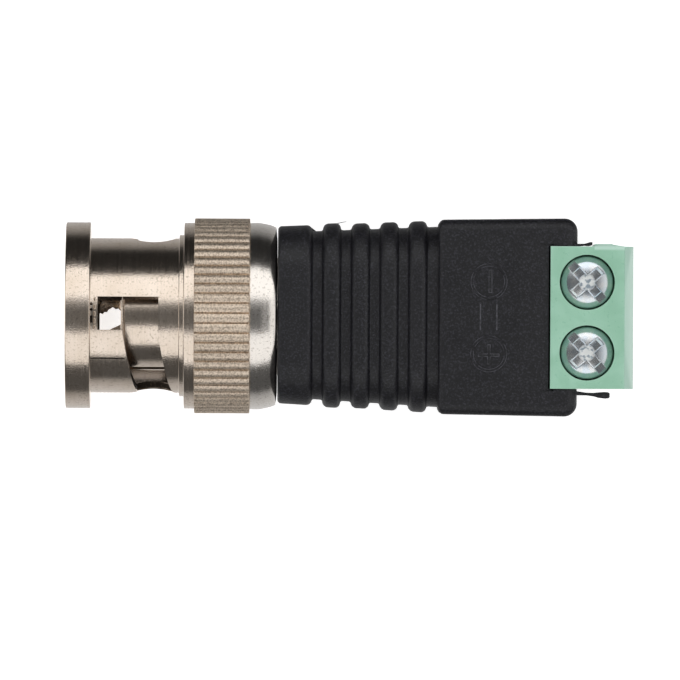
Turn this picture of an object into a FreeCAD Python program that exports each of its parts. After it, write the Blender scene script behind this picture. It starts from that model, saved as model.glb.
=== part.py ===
import FreeCAD, Part
import math
import os
import re
import Sketcher

# Bayonet coax plug with an overmoulded screw terminal.
# Millimetres. X runs along the plug: the coupling nut's mouth faces -X, the wires enter from +X.
# The clamp screws face +Z. The origin is on the plug's axis, at the tip of its contact sleeve,
# which is the plane where a mated jack's outer conductor stops.

V = FreeCAD.Vector
doc = FreeCAD.newDocument("bnc_screw_terminal_adapter")
sheet = doc.addObject("Spreadsheet::Sheet", "sizes")

SIZES = [
    ("fit_clearance", "0.1", "radial play of the parts that turn or slide on each other"),
    ("contact_sleeve_diameter", "8.1", "slotted outer contact, outside"),
    ("contact_sleeve_bore", "6.7", "slotted outer contact, inside"),
    ("contact_slots", "4", "slots that make the sleeve springy"),
    ("contact_slot_width", "0.5", ""),
    ("contact_slot_length", "5.0", ""),
    ("contact_slot_turn", "70", "degrees, where the first slot lies round the axis"),
    ("centre_pin_diameter", "1.35", "pin that enters the jack's socket"),
    ("centre_pin_recess", "0.4", "pin tip behind the sleeve's tip"),
    ("pin_shank_diameter", "2.2", "thicker part held in the insulator, from its face on"),
    ("solder_cup_length", "1.8", "part of the pin behind the body"),
    ("insulator_recess", "5.5", "insulator's face behind the sleeve's tip"),
    ("insulator_tail_diameter", "4.2", "thinner rear of the insulator"),
    ("insulator_tail_length", "3.5", ""),
    ("body_flange_thickness", "0.9", "collar that the nut pulls on"),
    ("neck_diameter", "8.6", "body behind the collar"),
    ("spigot_embed", "6.1", "how far the neck reaches into the moulding"),
    ("lug_width", "3.0", "solder lug on the body's rear"),
    ("lug_thickness", "1.2", ""),
    ("lug_length", "1.9", ""),
    ("gasket_thickness", "1.0", ""),
    ("gasket_bore", "7.6", "groove under the gasket, which holds it on the sleeve"),
    ("nut_overhang", "4.0", "nut's mouth ahead of the sleeve's tip"),
    ("nut_flange_length", "1.8", ""),
    ("nut_flange_diameter", "13.45", ""),
    ("nut_barrel_length", "6.4", ""),
    ("nut_barrel_diameter", "11.2", ""),
    ("nut_lip_length", "0.35", ""),
    ("nut_lip_diameter", "11.7", ""),
    ("nut_ring_length", "0.75", ""),
    ("nut_ring_diameter", "13.45", ""),
    ("knurl_length", "4.0", ""),
    ("knurl_diameter", "14.1", ""),
    ("knurl_ridges", "60", ""),
    ("knurl_groove_width", "0.22", ""),
    ("knurl_groove_depth", "0.2", ""),
    ("nut_tail_length", "2.0", "smooth ring behind the knurl"),
    ("nut_tail_rounding", "0.66", "length of the rolled corner"),
    ("nut_tail_drop", "0.32", "how far the rolled corner comes in"),
    ("nut_tail_dome", "0.2", "how far the rear face bulges"),
    ("nut_rim_thickness", "0.6", "edge rolled in behind the retaining washer"),
    ("nut_rim_opening", "10.9", ""),
    ("nut_wall", "0.5", "barrel wall round the jack's collar"),
    ("nut_edge_break", "0.1", "small bevel on the turned edges"),
    ("nut_clock", "-1.6", "degrees, how far the nut is turned in the rest pose"),
    ("lug_channel_width", "2.4", "straight entry for the jack's lugs"),
    ("lug_skin", "0.05", "thin wall left over the channel ahead of the window"),
    ("lug_skin_length", "0.55", ""),
    ("ramp_width", "2.55", "sloping part of the bayonet slot"),
    ("ramp_rise", "1.475", "how far the slope moves back"),
    ("ramp_turn", "93", "degrees from the channel to the detent"),
    ("ramp_setback", "1.53", "end of the slope ahead of the barrel's rear end"),
    ("window_margin", "0.27", "channel runs past the slope's rear edge"),
    ("detent_diameter", "3.3", "round seat that the lug snaps into"),
    ("detent_step", "0.32", "detent ahead of the slope's middle line"),
    ("spring_space", "1.4", "room for the bowed spring washer"),
    ("spring_washer_thickness", "0.25", ""),
    ("retaining_washer_thickness", "0.4", ""),
    ("boot_gap", "0.09", "nut to moulding"),
    ("boot_length", "11.51", "ribbed strain relief"),
    ("boot_step", "0.04", "boot's rear end inside the box's front end, each side"),
    ("boot_taper", "0.57", "how far the boot comes in towards the plug, each side"),
    ("boot_corner_radius", "3.2", ""),
    ("boot_collar_length", "2.33", "plain part ahead of the first groove"),
    ("boot_groove_count", "5", ""),
    ("boot_rib_length", "1.15", ""),
    ("boot_groove_depth", "0.45", ""),
    ("boot_edge_bevel", "0.25", ""),
    ("box_length", "9.99", "box that holds the terminal block"),
    ("box_front_inset", "0.05", "box's front end inside the knurl's sides, each side"),
    ("box_rear_outset", "0.1", "box's rear end outside the knurl's sides, each side"),
    ("box_corner_radius", "1.45", ""),
    ("box_edge_radius", "0.7", ""),
    ("box_shoulder_bevel", "0.35", ""),
    ("seat_gap", "0.12", "shrinkage gap behind the block"),
    ("block_seat_depth", "1.94", "how deep the block sits in the box"),
    ("block_proud", "0.15", "block's top above the box's top"),
    ("block_width", "10.25", ""),
    ("block_top_depth", "5.29", "flat top, along the plug"),
    ("block_depth", "5.97", ""),
    ("block_slope_height", "3.0", "sloping front below the top"),
    ("pole_pitch", "5.08", "screw to screw"),
    ("screw_hole_diameter", "3.97", ""),
    ("head_recess", "0.6", "screw head below the block's top"),
    ("head_diameter", "3.75", ""),
    ("head_thickness", "1.3", ""),
    ("head_edge_bevel", "0.25", "eased rim of the head"),
    ("head_seat_gap", "0.1", "head above the chamber's roof"),
    ("screw_diameter", "2.5", ""),
    ("screw_tip_bevel", "0.3", ""),
    ("screw_tip_gap", "0.03", "screw tip above the contact bar"),
    ("thread_clearance", "0.05", ""),
    ("slot_turn", "-48", "degrees, the way that the screw slots point"),
    ("slot_width", "0.8", ""),
    ("slot_depth", "0.45", ""),
    ("cross_length", "2.5", "cross recess at the head's top, arm to arm"),
    ("cross_foot_length", "1.4", "cross recess at its bottom, arm to arm"),
    ("cross_foot_width", "0.62", ""),
    ("cross_depth", "1.0", ""),
    ("cage_width", "3.9", ""),
    ("cage_depth", "3.0", ""),
    ("cage_wall", "0.5", ""),
    ("cage_top", "1.2", "threaded plate of the cage"),
    ("cage_floor", "0.6", ""),
    ("cage_corner", "0.3", ""),
    ("cage_lift", "0.3", "open cage above the block's underside"),
    ("wire_gap", "2.6", "room for the wire in the open cage"),
    ("wire_entry_width", "3.0", ""),
    ("wire_entry_bevel", "0.3", ""),
    ("bar_thickness", "0.5", "contact bar and its pin"),
    ("bar_width", "2.7", ""),
    ("bar_bend_radius", "0.45", ""),
    ("solder_pin_width", "1.0", ""),
    ("solder_pin_cover", "1.05", "moulding below the solder pins"),
    ("tongue_width", "1.4", "dovetail on the block's side"),
    ("tongue_height", "0.19", ""),
    ("tongue_setback", "3.83", "dovetail's middle from the block's rear"),
    ("tongue_drop", "0.6", "dovetail's top below the block's top"),
    ("conductor_diameter", "0.6", ""),
    ("insulation_diameter", "1.6", ""),
    ("bare_length", "1.6", "stripped end of each inner wire"),
    ("solder_drop_diameter", "1.5", ""),
    ("solder_drop_length", "1.1", ""),
    ("solder_film", "0.05", "solder under the wire on the lug"),
]

for row, (alias, size, note) in enumerate(SIZES, start=1):
    sheet.set(f"A{row}", alias.replace("_", " "))
    sheet.set(f"B{row}", size)
    sheet.setAlias(f"B{row}", alias)
    sheet.set(f"C{row}", note)
doc.recompute()
NAMES = {alias for alias, size, note in SIZES}

# Places along the plug, each an expression of the sizes above.
NUT_FRONT = "(-nut_overhang)"
FLANGE_END = f"({NUT_FRONT} + nut_flange_length)"
BARREL_END = f"({FLANGE_END} + nut_barrel_length)"
LIP_END = f"({BARREL_END} + nut_lip_length)"
RING_END = f"({LIP_END} + nut_ring_length)"
KNURL_END = f"({RING_END} + knurl_length)"
NUT_REAR = f"({KNURL_END} + nut_tail_length)"
RIM_FRONT = f"({NUT_REAR} - nut_rim_thickness)"
WASHER_FRONT = f"({RIM_FRONT} - retaining_washer_thickness)"
COLLAR_REAR = f"({WASHER_FRONT} - spring_space)"
COLLAR_FRONT = f"({COLLAR_REAR} - body_flange_thickness)"
GASKET_GROOVE = f"({COLLAR_FRONT} - gasket_thickness - fit_clearance)"
BOOT_FRONT = f"({NUT_REAR} + boot_gap)"
SPIGOT_END = f"({BOOT_FRONT} + spigot_embed)"
INSULATOR_STEP = f"({SPIGOT_END} - insulator_tail_length)"
PIN_REAR = f"({SPIGOT_END} + solder_cup_length)"
BOX_FRONT = f"({BOOT_FRONT} + boot_length)"
BOX_REAR = f"({BOX_FRONT} + box_length)"
BLOCK_REAR = f"({BOX_REAR} - block_seat_depth)"
SCREW_X = f"({BLOCK_REAR} + block_top_depth / 2)"

# Radii that two pieces share.
NUT_BORE = "(nut_barrel_diameter / 2 - nut_wall)"
COLLAR_RADIUS = "(nut_ring_diameter / 2 - 0.725)"
CHAMBER_RADIUS = f"({COLLAR_RADIUS} + fit_clearance)"
NECK_RADIUS = "(neck_diameter / 2)"

# The adapter lies flat on its knurl and its box, so the box is as high as the knurl is wide.
BOX_HEIGHT = "knurl_diameter"
BOX_TOP, BOX_BOTTOM = f"({BOX_HEIGHT} / 2)", f"(-{BOX_HEIGHT} / 2)"
BOX_FRONT_HALF = "(knurl_diameter / 2 - box_front_inset)"
BOX_REAR_HALF = "(knurl_diameter / 2 + box_rear_outset)"

# Heights in the terminal, worked out from the block's top down to its underside.
BLOCK_TOP = f"({BOX_TOP} + block_proud)"
HEAD_TOP = f"({BLOCK_TOP} - head_recess)"
HEAD_BOTTOM = f"({HEAD_TOP} - head_thickness)"
CHAMBER_TOP = f"({HEAD_BOTTOM} - head_seat_gap)"
CAGE_TOP = f"({CHAMBER_TOP} - wire_gap - fit_clearance)"
CAGE_ROOF = f"({CAGE_TOP} - cage_top)"
BAR_TOP = f"({CAGE_ROOF} - fit_clearance)"
BAR_BOTTOM = f"({BAR_TOP} - bar_thickness)"
CAGE_DECK = f"({BAR_BOTTOM} - wire_gap)"
CAGE_BOTTOM = f"({CAGE_DECK} - cage_floor)"
BLOCK_BOTTOM = f"({CAGE_BOTTOM} - cage_lift)"
PIN_BOTTOM = f"({BOX_BOTTOM} + solder_pin_cover)"
WIRE_HEIGHT = f"(({BLOCK_BOTTOM} + {PIN_BOTTOM}) / 2)"

# Chamber round a cage, measured along X from the screw.
CAGE_FRONT = "(cage_depth / 2)"
CHAMBER_FRONT = f"({CAGE_FRONT} + fit_clearance)"
BAR_FACE = f"(-{CHAMBER_FRONT})"
BAR_BACK = f"({BAR_FACE} - bar_thickness)"


def bound(text):
    """An expression with each size's name pointed at its cell."""
    return re.sub(r"[a-z][a-z_]+", lambda found: cell(found.group()), text)


def cell(word):
    return f"sizes.{word}" if word in NAMES else word


def worth(text):
    """The number that an expression comes to."""
    result = sheet.evalExpression(bound(text))
    return float(getattr(result, "Value", result))


def bind(item, **places):
    """Binds properties to expressions. In a property's name, two underscores stand for a dot."""
    for place, text in places.items():
        item.setExpression(place.replace("__", "."), bound(text))
    return item


def new_body(label):
    body = doc.addObject("PartDesign::Body", label)
    body.Label = label
    return body


def origin_plane(body, role):
    return next(item for item in body.Origin.OriginFeatures if item.Role == role)


def new_sketch(body, name, role, raised="0", turned=None):
    """A sketch on one of the body's own planes, raised along its normal and turned in it."""
    sketch = body.newObject("Sketcher::SketchObject", name)
    sketch.AttachmentSupport = [(origin_plane(body, role), "")]
    sketch.MapMode = "FlatFace"
    bind(sketch, AttachmentOffset__Base__z=raised)
    if turned:
        flat_turn = FreeCAD.Rotation(V(0, 0, 1), 1)
        sketch.AttachmentOffset = FreeCAD.Placement(V(0, 0, 0), flat_turn)
        bind(sketch, AttachmentOffset__Rotation__Angle=turned)
    return sketch


def dimension(sketch, kind, item, point, text):
    """Ties one point of the sketch to the origin by a horizontal or vertical distance."""
    if text == "0":
        axis = -2 if kind == "DistanceX" else -1
        sketch.addConstraint(Sketcher.Constraint("PointOnObject", item, point, axis))
        return
    size = worth(text)
    index = sketch.addConstraint(Sketcher.Constraint(kind, -1, 1, item, point, size))
    name = f"{kind}{index}"
    sketch.renameConstraint(index, name)
    sketch.setExpression(f"Constraints.{name}", bound(text))


def outline(sketch, corners):
    """A closed outline of straight edges. Corners that share an expression share one dimension."""
    spots = [V(worth(across), worth(up), 0) for across, up in corners]
    count = len(corners)
    first = sketch.GeometryCount
    for n in range(count):
        sketch.addGeometry(Part.LineSegment(spots[n], spots[(n + 1) % count]), False)
    for n in range(count):
        here, after = first + n, first + (n + 1) % count
        sketch.addConstraint(Sketcher.Constraint("Coincident", here, 2, after, 1))
    for side, straight, kind in ((0, "Vertical", "DistanceX"), (1, "Horizontal", "DistanceY")):
        for n in range(count):
            if corners[n][side] == corners[(n + 1) % count][side]:
                sketch.addConstraint(Sketcher.Constraint(straight, first + n))
            if corners[n][side] != corners[n - 1][side]:
                dimension(sketch, kind, first + n, 1, corners[n][side])
    return sketch


def box_outline(sketch, low, high):
    """A rectangle between two corners."""
    (left, bottom), (right, top) = low, high
    return outline(sketch, [(left, bottom), (right, bottom), (right, top), (left, top)])


def cross_outline(sketch, length, width):
    """A plus-shaped outline about the origin."""
    far, close = f"({length} / 2)", f"({width} / 2)"
    low, down = f"-{far}", f"-{close}"
    right = [(close, low), (close, down), (far, down), (far, close), (close, close), (close, far)]
    left = [(down, far), (down, close), (low, close), (low, down), (down, down), (down, low)]
    return outline(sketch, right + left)


def circle(sketch, across, up, radius):
    centre = V(worth(across), worth(up), 0)
    item = sketch.addGeometry(Part.Circle(centre, V(0, 0, 1), worth(radius)), False)
    dimension(sketch, "DistanceX", item, 3, across)
    dimension(sketch, "DistanceY", item, 3, up)
    index = sketch.addConstraint(Sketcher.Constraint("Radius", item, worth(radius)))
    sketch.renameConstraint(index, f"Radius{index}")
    sketch.setExpression(f"Constraints.Radius{index}", bound(radius))
    return sketch


def rounded_box(sketch, half_width, half_height, radius):
    """A rectangle about the origin with its corners rounded, drawn anticlockwise."""
    halves = (half_width, half_height)
    bend = worth(radius)
    first = sketch.GeometryCount
    for n in range(4):
        turn = FreeCAD.Rotation(V(0, 0, 1), 90 * n)
        out, along = worth(halves[n % 2]), worth(halves[1 - n % 2]) - bend
        side = Part.LineSegment(turn * V(out, -along, 0), turn * V(out, along, 0))
        sketch.addGeometry(side, False)
        ring = Part.Circle(turn * V(out - bend, along, 0), V(0, 0, 1), bend)
        corner = Part.ArcOfCircle(ring, n * math.pi / 2, (n + 1) * math.pi / 2)
        sketch.addGeometry(corner, False)
    for n in range(4):
        side, corner, after = first + 2 * n, first + 2 * n + 1, first + (2 * n + 2) % 8
        sketch.addConstraint(Sketcher.Constraint("Tangent", side, 2, corner, 1))
        sketch.addConstraint(Sketcher.Constraint("Tangent", corner, 2, after, 1))
        sketch.addConstraint(Sketcher.Constraint("Horizontal" if n % 2 else "Vertical", side))
        kind = "DistanceY" if n % 2 else "DistanceX"
        half = halves[n % 2]
        dimension(sketch, kind, side, 1, half if n < 2 else f"(-{half})")
        if n:
            sketch.addConstraint(Sketcher.Constraint("Equal", first + 1, corner))
    index = sketch.addConstraint(Sketcher.Constraint("Radius", first + 1, bend))
    sketch.renameConstraint(index, f"Radius{index}")
    sketch.setExpression(f"Constraints.Radius{index}", bound(radius))
    return sketch


def revolve(body, sketch, axis="H_Axis"):
    turned = body.newObject("PartDesign::Revolution", sketch.Name + "_turned")
    turned.Profile = sketch
    turned.ReferenceAxis = (sketch, [axis])
    turned.Angle = 360
    return turned


def extrude(body, kind, sketch, length, both_ways=False, along_normal=True):
    """A pad or pocket. A pocket's own direction is against the sketch's normal."""
    made = body.newObject(f"PartDesign::{kind}", f"{sketch.Name}_{kind.lower()}")
    made.Profile = sketch
    made.SideType = "Symmetric" if both_ways else "One side"
    made.Reversed = along_normal if kind == "Pocket" else not along_normal
    bind(made, Length=length)
    return made


def pattern(body, name, originals, sketch, axis, count):
    """Copies of some features, evenly all round an axis of the sketch."""
    ring = body.newObject("PartDesign::PolarPattern", name)
    ring.Originals = originals
    ring.Axis = (sketch, [axis])
    ring.Angle = 360
    bind(ring, Occurrences=count)
    body.Tip = ring
    return ring


def edges_where(feature, test):
    """The names of the feature's edges that pass a test."""
    doc.recompute()
    edges = enumerate(feature.Shape.Edges, start=1)
    return [f"Edge{n}" for n, edge in edges if not edge.Degenerated and test(edge)]


def near(first, second, tolerance=1e-4):
    return abs(first - second) < tolerance


def dress(body, kind, feature, edges, size):
    """Rounds or bevels some edges of a feature."""
    made = body.newObject(f"PartDesign::{kind}", f"{feature.Name}_{kind.lower()}")
    made.Base = (feature, edges)
    if kind == "Fillet":
        return bind(made, Radius=size)
    return bind(made, Size=size)


def circles_at(feature, spots):
    """Whole circles round the X axis, each given as a place along X and a radius."""
    wanted = [(worth(place), worth(radius)) for place, radius in spots]

    def test(edge):
        if not isinstance(edge.Curve, Part.Circle):
            return False
        seen = (edge.Curve.Center.x, edge.Curve.Radius)
        return any(near(seen[0], place) and near(seen[1], size) for place, size in wanted)

    return edges_where(feature, test)


def upright(edge):
    return isinstance(edge.Curve, Part.Line) and near(abs(edge.Curve.Direction.z), 1)


def level_at(edge, height):
    box = edge.BoundBox
    return near(box.ZMin, height) and near(box.ZMax, height)


def plug_body():
    """Outer contact, collar, neck and solder lug: one turned and milled piece."""
    body = new_body("plug_body")
    corners = [
        ("0", "contact_sleeve_bore / 2"),
        ("0", "contact_sleeve_diameter / 2"),
        (GASKET_GROOVE, "contact_sleeve_diameter / 2"),
        (GASKET_GROOVE, "gasket_bore / 2"),
        (COLLAR_FRONT, "gasket_bore / 2"),
        (COLLAR_FRONT, COLLAR_RADIUS),
        (COLLAR_REAR, COLLAR_RADIUS),
        (COLLAR_REAR, NECK_RADIUS),
        (SPIGOT_END, NECK_RADIUS),
        (SPIGOT_END, "insulator_tail_diameter / 2"),
        (INSULATOR_STEP, "insulator_tail_diameter / 2"),
        (INSULATOR_STEP, "contact_sleeve_bore / 2"),
    ]
    profile = outline(new_sketch(body, "body_profile", "XY_Plane"), corners)
    turned = revolve(body, profile)
    tip = circles_at(turned, [("0", "contact_sleeve_diameter / 2")])
    eased = dress(body, "Chamfer", turned, tip, "fit_clearance")
    slot = new_sketch(body, "contact_slot", "YZ_Plane", turned="contact_slot_turn")
    inner = "contact_sleeve_bore / 2 - contact_slot_width"
    outer = "contact_sleeve_diameter / 2 + contact_slot_width"
    box_outline(slot, (inner, "-contact_slot_width / 2"), (outer, "contact_slot_width / 2"))
    cut = extrude(body, "Pocket", slot, "contact_slot_length")
    slots = pattern(body, "contact_slots_round", [cut], profile, "H_Axis", "contact_slots")
    lug = new_sketch(body, "lug_section", "YZ_Plane", raised=SPIGOT_END)
    top = f"-{NECK_RADIUS} + lug_thickness"
    box_outline(lug, ("-lug_width / 2", f"-{NECK_RADIUS}"), ("lug_width / 2", top))
    extrude(body, "Pad", lug, "lug_length")
    return body, [turned, eased, slots]


def centre_pin():
    """Pin with a rounded tip, a thicker shank and a solder cup."""
    body = new_body("centre_pin")
    tip = "centre_pin_recess"
    nose = "centre_pin_diameter / 4"
    corners = [
        (tip, "0"),
        (tip, nose),
        (f"{tip} + {nose}", "centre_pin_diameter / 2"),
        ("insulator_recess", "centre_pin_diameter / 2"),
        ("insulator_recess", "pin_shank_diameter / 2"),
        (PIN_REAR, "pin_shank_diameter / 2"),
        (PIN_REAR, "conductor_diameter / 2"),
        (f"{PIN_REAR} - bare_length", "conductor_diameter / 2"),
        (f"{PIN_REAR} - bare_length", "0"),
    ]
    revolve(body, outline(new_sketch(body, "pin_profile", "XY_Plane"), corners))
    return body


def insulator():
    """Plastic plug that holds the pin in the middle of the body."""
    body = new_body("insulator")
    corners = [
        ("insulator_recess", "pin_shank_diameter / 2"),
        ("insulator_recess", "contact_sleeve_bore / 2"),
        (INSULATOR_STEP, "contact_sleeve_bore / 2"),
        (INSULATOR_STEP, "insulator_tail_diameter / 2"),
        (SPIGOT_END, "insulator_tail_diameter / 2"),
        (SPIGOT_END, "pin_shank_diameter / 2"),
    ]
    revolve(body, outline(new_sketch(body, "insulator_profile", "XY_Plane"), corners))
    return body


def ring_piece(label, front, thickness, inner, outer):
    """A flat ring round the plug's axis."""
    body = new_body(label)
    section = new_sketch(body, f"{label}_section", "YZ_Plane", raised=front)
    circle(section, "0", "0", outer)
    circle(section, "0", "0", inner)
    return body, extrude(body, "Pad", section, thickness)


def gasket():
    """Soft ring in a groove of the sleeve, which the jack's rim presses against the collar."""
    front = f"{COLLAR_FRONT} - gasket_thickness"
    outer = f"{NUT_BORE} - fit_clearance"
    return ring_piece("gasket", front, "gasket_thickness", "gasket_bore / 2", outer)[0]


def retaining_washer():
    """Flat washer that carries the nut's rolled rim on the wave washer."""
    inner = f"{NECK_RADIUS} + fit_clearance"
    thickness = "retaining_washer_thickness"
    return ring_piece("retaining_washer", WASHER_FRONT, thickness, inner, COLLAR_RADIUS)[0]


def spring_washer():
    """Thin ring bowed about an upright axis: its middle presses the flat washer, its sides the collar."""
    play = "(fit_clearance / 2)"
    inner, outer = f"({NECK_RADIUS} + 2 * fit_clearance)", f"({COLLAR_RADIUS} - fit_clearance)"
    bow = f"(spring_space - 2 * {play} - spring_washer_thickness)"
    radius = f"(({outer}^2 + {bow}^2) / (2 * {bow}))"
    centre = f"({WASHER_FRONT} - {play} - {radius})"
    depth = f"spring_space - 2 * {play}"
    body, ring = ring_piece("spring_washer", f"{COLLAR_REAR} + {play}", depth, inner, outer)
    hollow = new_sketch(body, "spring_front", "XY_Plane")
    circle(hollow, centre, "0", f"{radius} - spring_washer_thickness")
    dished = extrude(body, "Pocket", hollow, f"2 * {outer}", both_ways=True)
    back = new_sketch(body, "spring_back", "XY_Plane")
    circle(back, centre, "0", radius)
    reach = f"({radius} + {outer})"
    box_outline(back, (f"{centre} - {reach}", f"-{reach}"), (f"{centre} + {reach}", reach))
    bowed = extrude(body, "Pocket", back, f"2 * {outer}", both_ways=True)
    return body, [ring, dished, bowed]


def coupling_nut():
    """Bayonet nut: turned, broached for the lugs, slotted along two ramps and knurled."""
    body = new_body("coupling_nut")
    body.Placement = FreeCAD.Placement(V(0, 0, 0), FreeCAD.Rotation(V(1, 0, 0), 1))
    bind(body, Placement__Rotation__Angle="nut_clock")
    corner = f"({NUT_REAR} - nut_tail_dome)"
    tail = "nut_ring_diameter / 2"
    corners = [
        (NUT_FRONT, NUT_BORE),
        (NUT_FRONT, "nut_flange_diameter / 2"),
        (FLANGE_END, "nut_flange_diameter / 2"),
        (FLANGE_END, "nut_barrel_diameter / 2"),
        (BARREL_END, "nut_barrel_diameter / 2"),
        (BARREL_END, "nut_lip_diameter / 2"),
        (LIP_END, "nut_lip_diameter / 2"),
        (LIP_END, "nut_ring_diameter / 2"),
        (RING_END, "nut_ring_diameter / 2"),
        (RING_END, "knurl_diameter / 2"),
        (KNURL_END, "knurl_diameter / 2"),
        (KNURL_END, tail),
        (f"{corner} - nut_tail_rounding", tail),
        (f"{corner} - nut_tail_rounding / 3", f"{tail} - nut_tail_drop / 3"),
        (corner, f"{tail} - nut_tail_drop"),
        (NUT_REAR, "nut_rim_opening / 2"),
        (RIM_FRONT, "nut_rim_opening / 2"),
        (RIM_FRONT, CHAMBER_RADIUS),
        (COLLAR_FRONT, CHAMBER_RADIUS),
        (COLLAR_FRONT, NUT_BORE),
    ]
    profile = outline(new_sketch(body, "nut_profile", "XY_Plane"), corners)
    turned = revolve(body, profile)
    sharp = [
        (NUT_FRONT, "nut_flange_diameter / 2"),
        (NUT_FRONT, NUT_BORE),
        (FLANGE_END, "nut_flange_diameter / 2"),
    ]
    eased = dress(body, "Chamfer", turned, circles_at(turned, sharp), "nut_edge_break")

    # The slots: a closed channel under the flange, a window, a ramp that winds back, a detent.
    window_start = f"({FLANGE_END} + lug_skin_length)"
    ramp_end = f"({BARREL_END} - ramp_setback)"
    ramp_start = f"({ramp_end} - ramp_rise)"
    window_end = f"({ramp_start} + ramp_width / 2 + window_margin)"
    inside = f"{NUT_BORE} - lug_channel_width / 4"
    outside = "nut_flange_diameter / 2"
    channel = new_sketch(body, "channel_section", "XZ_Plane")
    box_outline(channel, (NUT_FRONT, inside), (window_start, "nut_barrel_diameter / 2 - lug_skin"))
    broached = body.newObject("PartDesign::Groove", "channel_cut")
    broached.Profile = channel
    broached.ReferenceAxis = (channel, ["H_Axis"])
    broached.Midplane = True
    bind(broached, Angle="2 * asin(lug_channel_width / nut_barrel_diameter)")
    window = new_sketch(body, "window_outline", "XY_Plane")
    side = "lug_channel_width / 2"
    box_outline(window, (window_start, f"-{side}"), (window_end, side))
    windowed = extrude(body, "Pocket", window, outside)
    ramp = new_sketch(body, "ramp_section", "XZ_Plane")
    low, high = f"{ramp_start} - ramp_width / 2", f"{ramp_start} + ramp_width / 2"
    box_outline(ramp, (low, inside), (high, "nut_barrel_diameter / 2 + lug_channel_width / 4"))
    wound = body.newObject("PartDesign::SubtractiveHelix", "ramp_cut")
    wound.Profile = ramp
    wound.ReferenceAxis = (ramp, ["H_Axis"])
    wound.Mode = "pitch-height-angle"
    bind(wound, Pitch="ramp_rise * 360 / ramp_turn", Height="ramp_rise")
    detent = new_sketch(body, "detent_outline", "XZ_Plane")
    lag = "nut_barrel_diameter / 2 * cos(ramp_turn)"
    circle(detent, f"{ramp_end} - detent_step", lag, "detent_diameter / 2")
    seated = extrude(body, "Pocket", detent, outside)
    cuts = [broached, windowed, wound, seated]
    slots = pattern(body, "both_slots", cuts, profile, "H_Axis", "2")

    tooth = new_sketch(body, "knurl_groove", "YZ_Plane", raised=RING_END)
    crest = "knurl_diameter / 2 + knurl_groove_depth / 2"
    flank = "knurl_groove_width * 0.75"
    root = "knurl_diameter / 2 - knurl_groove_depth"
    outline(tooth, [("0", root), (flank, crest), (f"-{flank}", crest)])
    pressed = extrude(body, "Pocket", tooth, "knurl_length")
    ridges = pattern(body, "knurl", [pressed], profile, "H_Axis", "knurl_ridges")
    return body, [turned, eased, slots, ridges]


def contact_bar(label):
    """Bent strip: the bar that the wire is clamped against, and its solder pin."""
    body = new_body(label)
    side = new_sketch(body, f"{label}_side", "XZ_Plane")
    corners = [
        (BAR_BACK, BAR_TOP),
        (CAGE_FRONT, BAR_TOP),
        (CAGE_FRONT, BAR_BOTTOM),
        (BAR_FACE, BAR_BOTTOM),
        (BAR_FACE, BLOCK_BOTTOM),
        (BAR_BACK, BLOCK_BOTTOM),
    ]
    strip = extrude(body, "Pad", outline(side, corners), "bar_width", both_ways=True)
    back, top = worth(BAR_BACK), worth(BAR_TOP)

    def outer_bend(edge):
        middle = edge.CenterOfMass
        return near(middle.x, back) and near(middle.z, top)

    dress(body, "Fillet", strip, edges_where(strip, outer_bend), "bar_bend_radius")
    pin = new_sketch(body, f"{label}_pin", "XZ_Plane")
    box_outline(pin, (BAR_BACK, PIN_BOTTOM), (BAR_FACE, BLOCK_BOTTOM))
    extrude(body, "Pad", pin, "solder_pin_width", both_ways=True)
    return body


def clamp_cage(label):
    """Box nut that rises along the screw and lifts the wire against the bar."""
    body = new_body(label)
    section = new_sketch(body, f"{label}_section", "YZ_Plane")
    half, hollow = "cage_width / 2", "(cage_width / 2 - cage_wall)"
    box_outline(section, (f"-{half}", CAGE_BOTTOM), (half, CAGE_TOP))
    box_outline(section, (f"-{hollow}", CAGE_DECK), (hollow, CAGE_ROOF))
    blank = extrude(body, "Pad", section, "cage_depth", both_ways=True)
    side = worth(half)

    def corner(edge):
        return upright(edge) and near(abs(edge.CenterOfMass.y), side)

    rounded = dress(body, "Fillet", blank, edges_where(blank, corner), "cage_corner")
    hole = new_sketch(body, f"{label}_hole", "XY_Plane", raised=CAGE_TOP)
    circle(hole, "0", "0", "screw_diameter / 2 + thread_clearance")
    tapped = extrude(body, "Pocket", hole, "cage_top", along_normal=False)
    return body, [blank, rounded, tapped]


def clamp_screw(label):
    """Pan head screw with a slot and a cross recess, its tip on the contact bar."""
    body = new_body(label)
    tip = f"{BAR_TOP} + screw_tip_gap"
    corners = [
        ("0", tip),
        ("screw_diameter / 2 - screw_tip_bevel", tip),
        ("screw_diameter / 2", f"{tip} + screw_tip_bevel"),
        ("screw_diameter / 2", HEAD_BOTTOM),
        ("head_diameter / 2", HEAD_BOTTOM),
        ("head_diameter / 2", f"{HEAD_TOP} - head_edge_bevel"),
        ("head_diameter / 2 - head_edge_bevel", HEAD_TOP),
        ("0", HEAD_TOP),
    ]
    profile = outline(new_sketch(body, f"{label}_profile", "XZ_Plane"), corners)
    turned = revolve(body, profile, "V_Axis")
    recess = {"raised": HEAD_TOP, "turned": "slot_turn"}
    slot = new_sketch(body, f"{label}_slot", "XY_Plane", **recess)
    half, reach = "slot_width / 2", "head_diameter"
    box_outline(slot, (f"-{reach}", f"-{half}"), (reach, half))
    slotted = extrude(body, "Pocket", slot, "slot_depth", along_normal=False)
    mouth = new_sketch(body, f"{label}_cross", "XY_Plane", **recess)
    cross_outline(mouth, "cross_length", "slot_width")
    recess["raised"] = f"{HEAD_TOP} - cross_depth"
    foot = new_sketch(body, f"{label}_cross_foot", "XY_Plane", **recess)
    cross_outline(foot, "cross_foot_length", "cross_foot_width")
    crossed = body.newObject("PartDesign::SubtractiveLoft", f"{label}_cross_cut")
    crossed.Profile = mouth
    crossed.Sections = [foot]
    crossed.Ruled = True
    return body, [turned, slotted, crossed]


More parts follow.
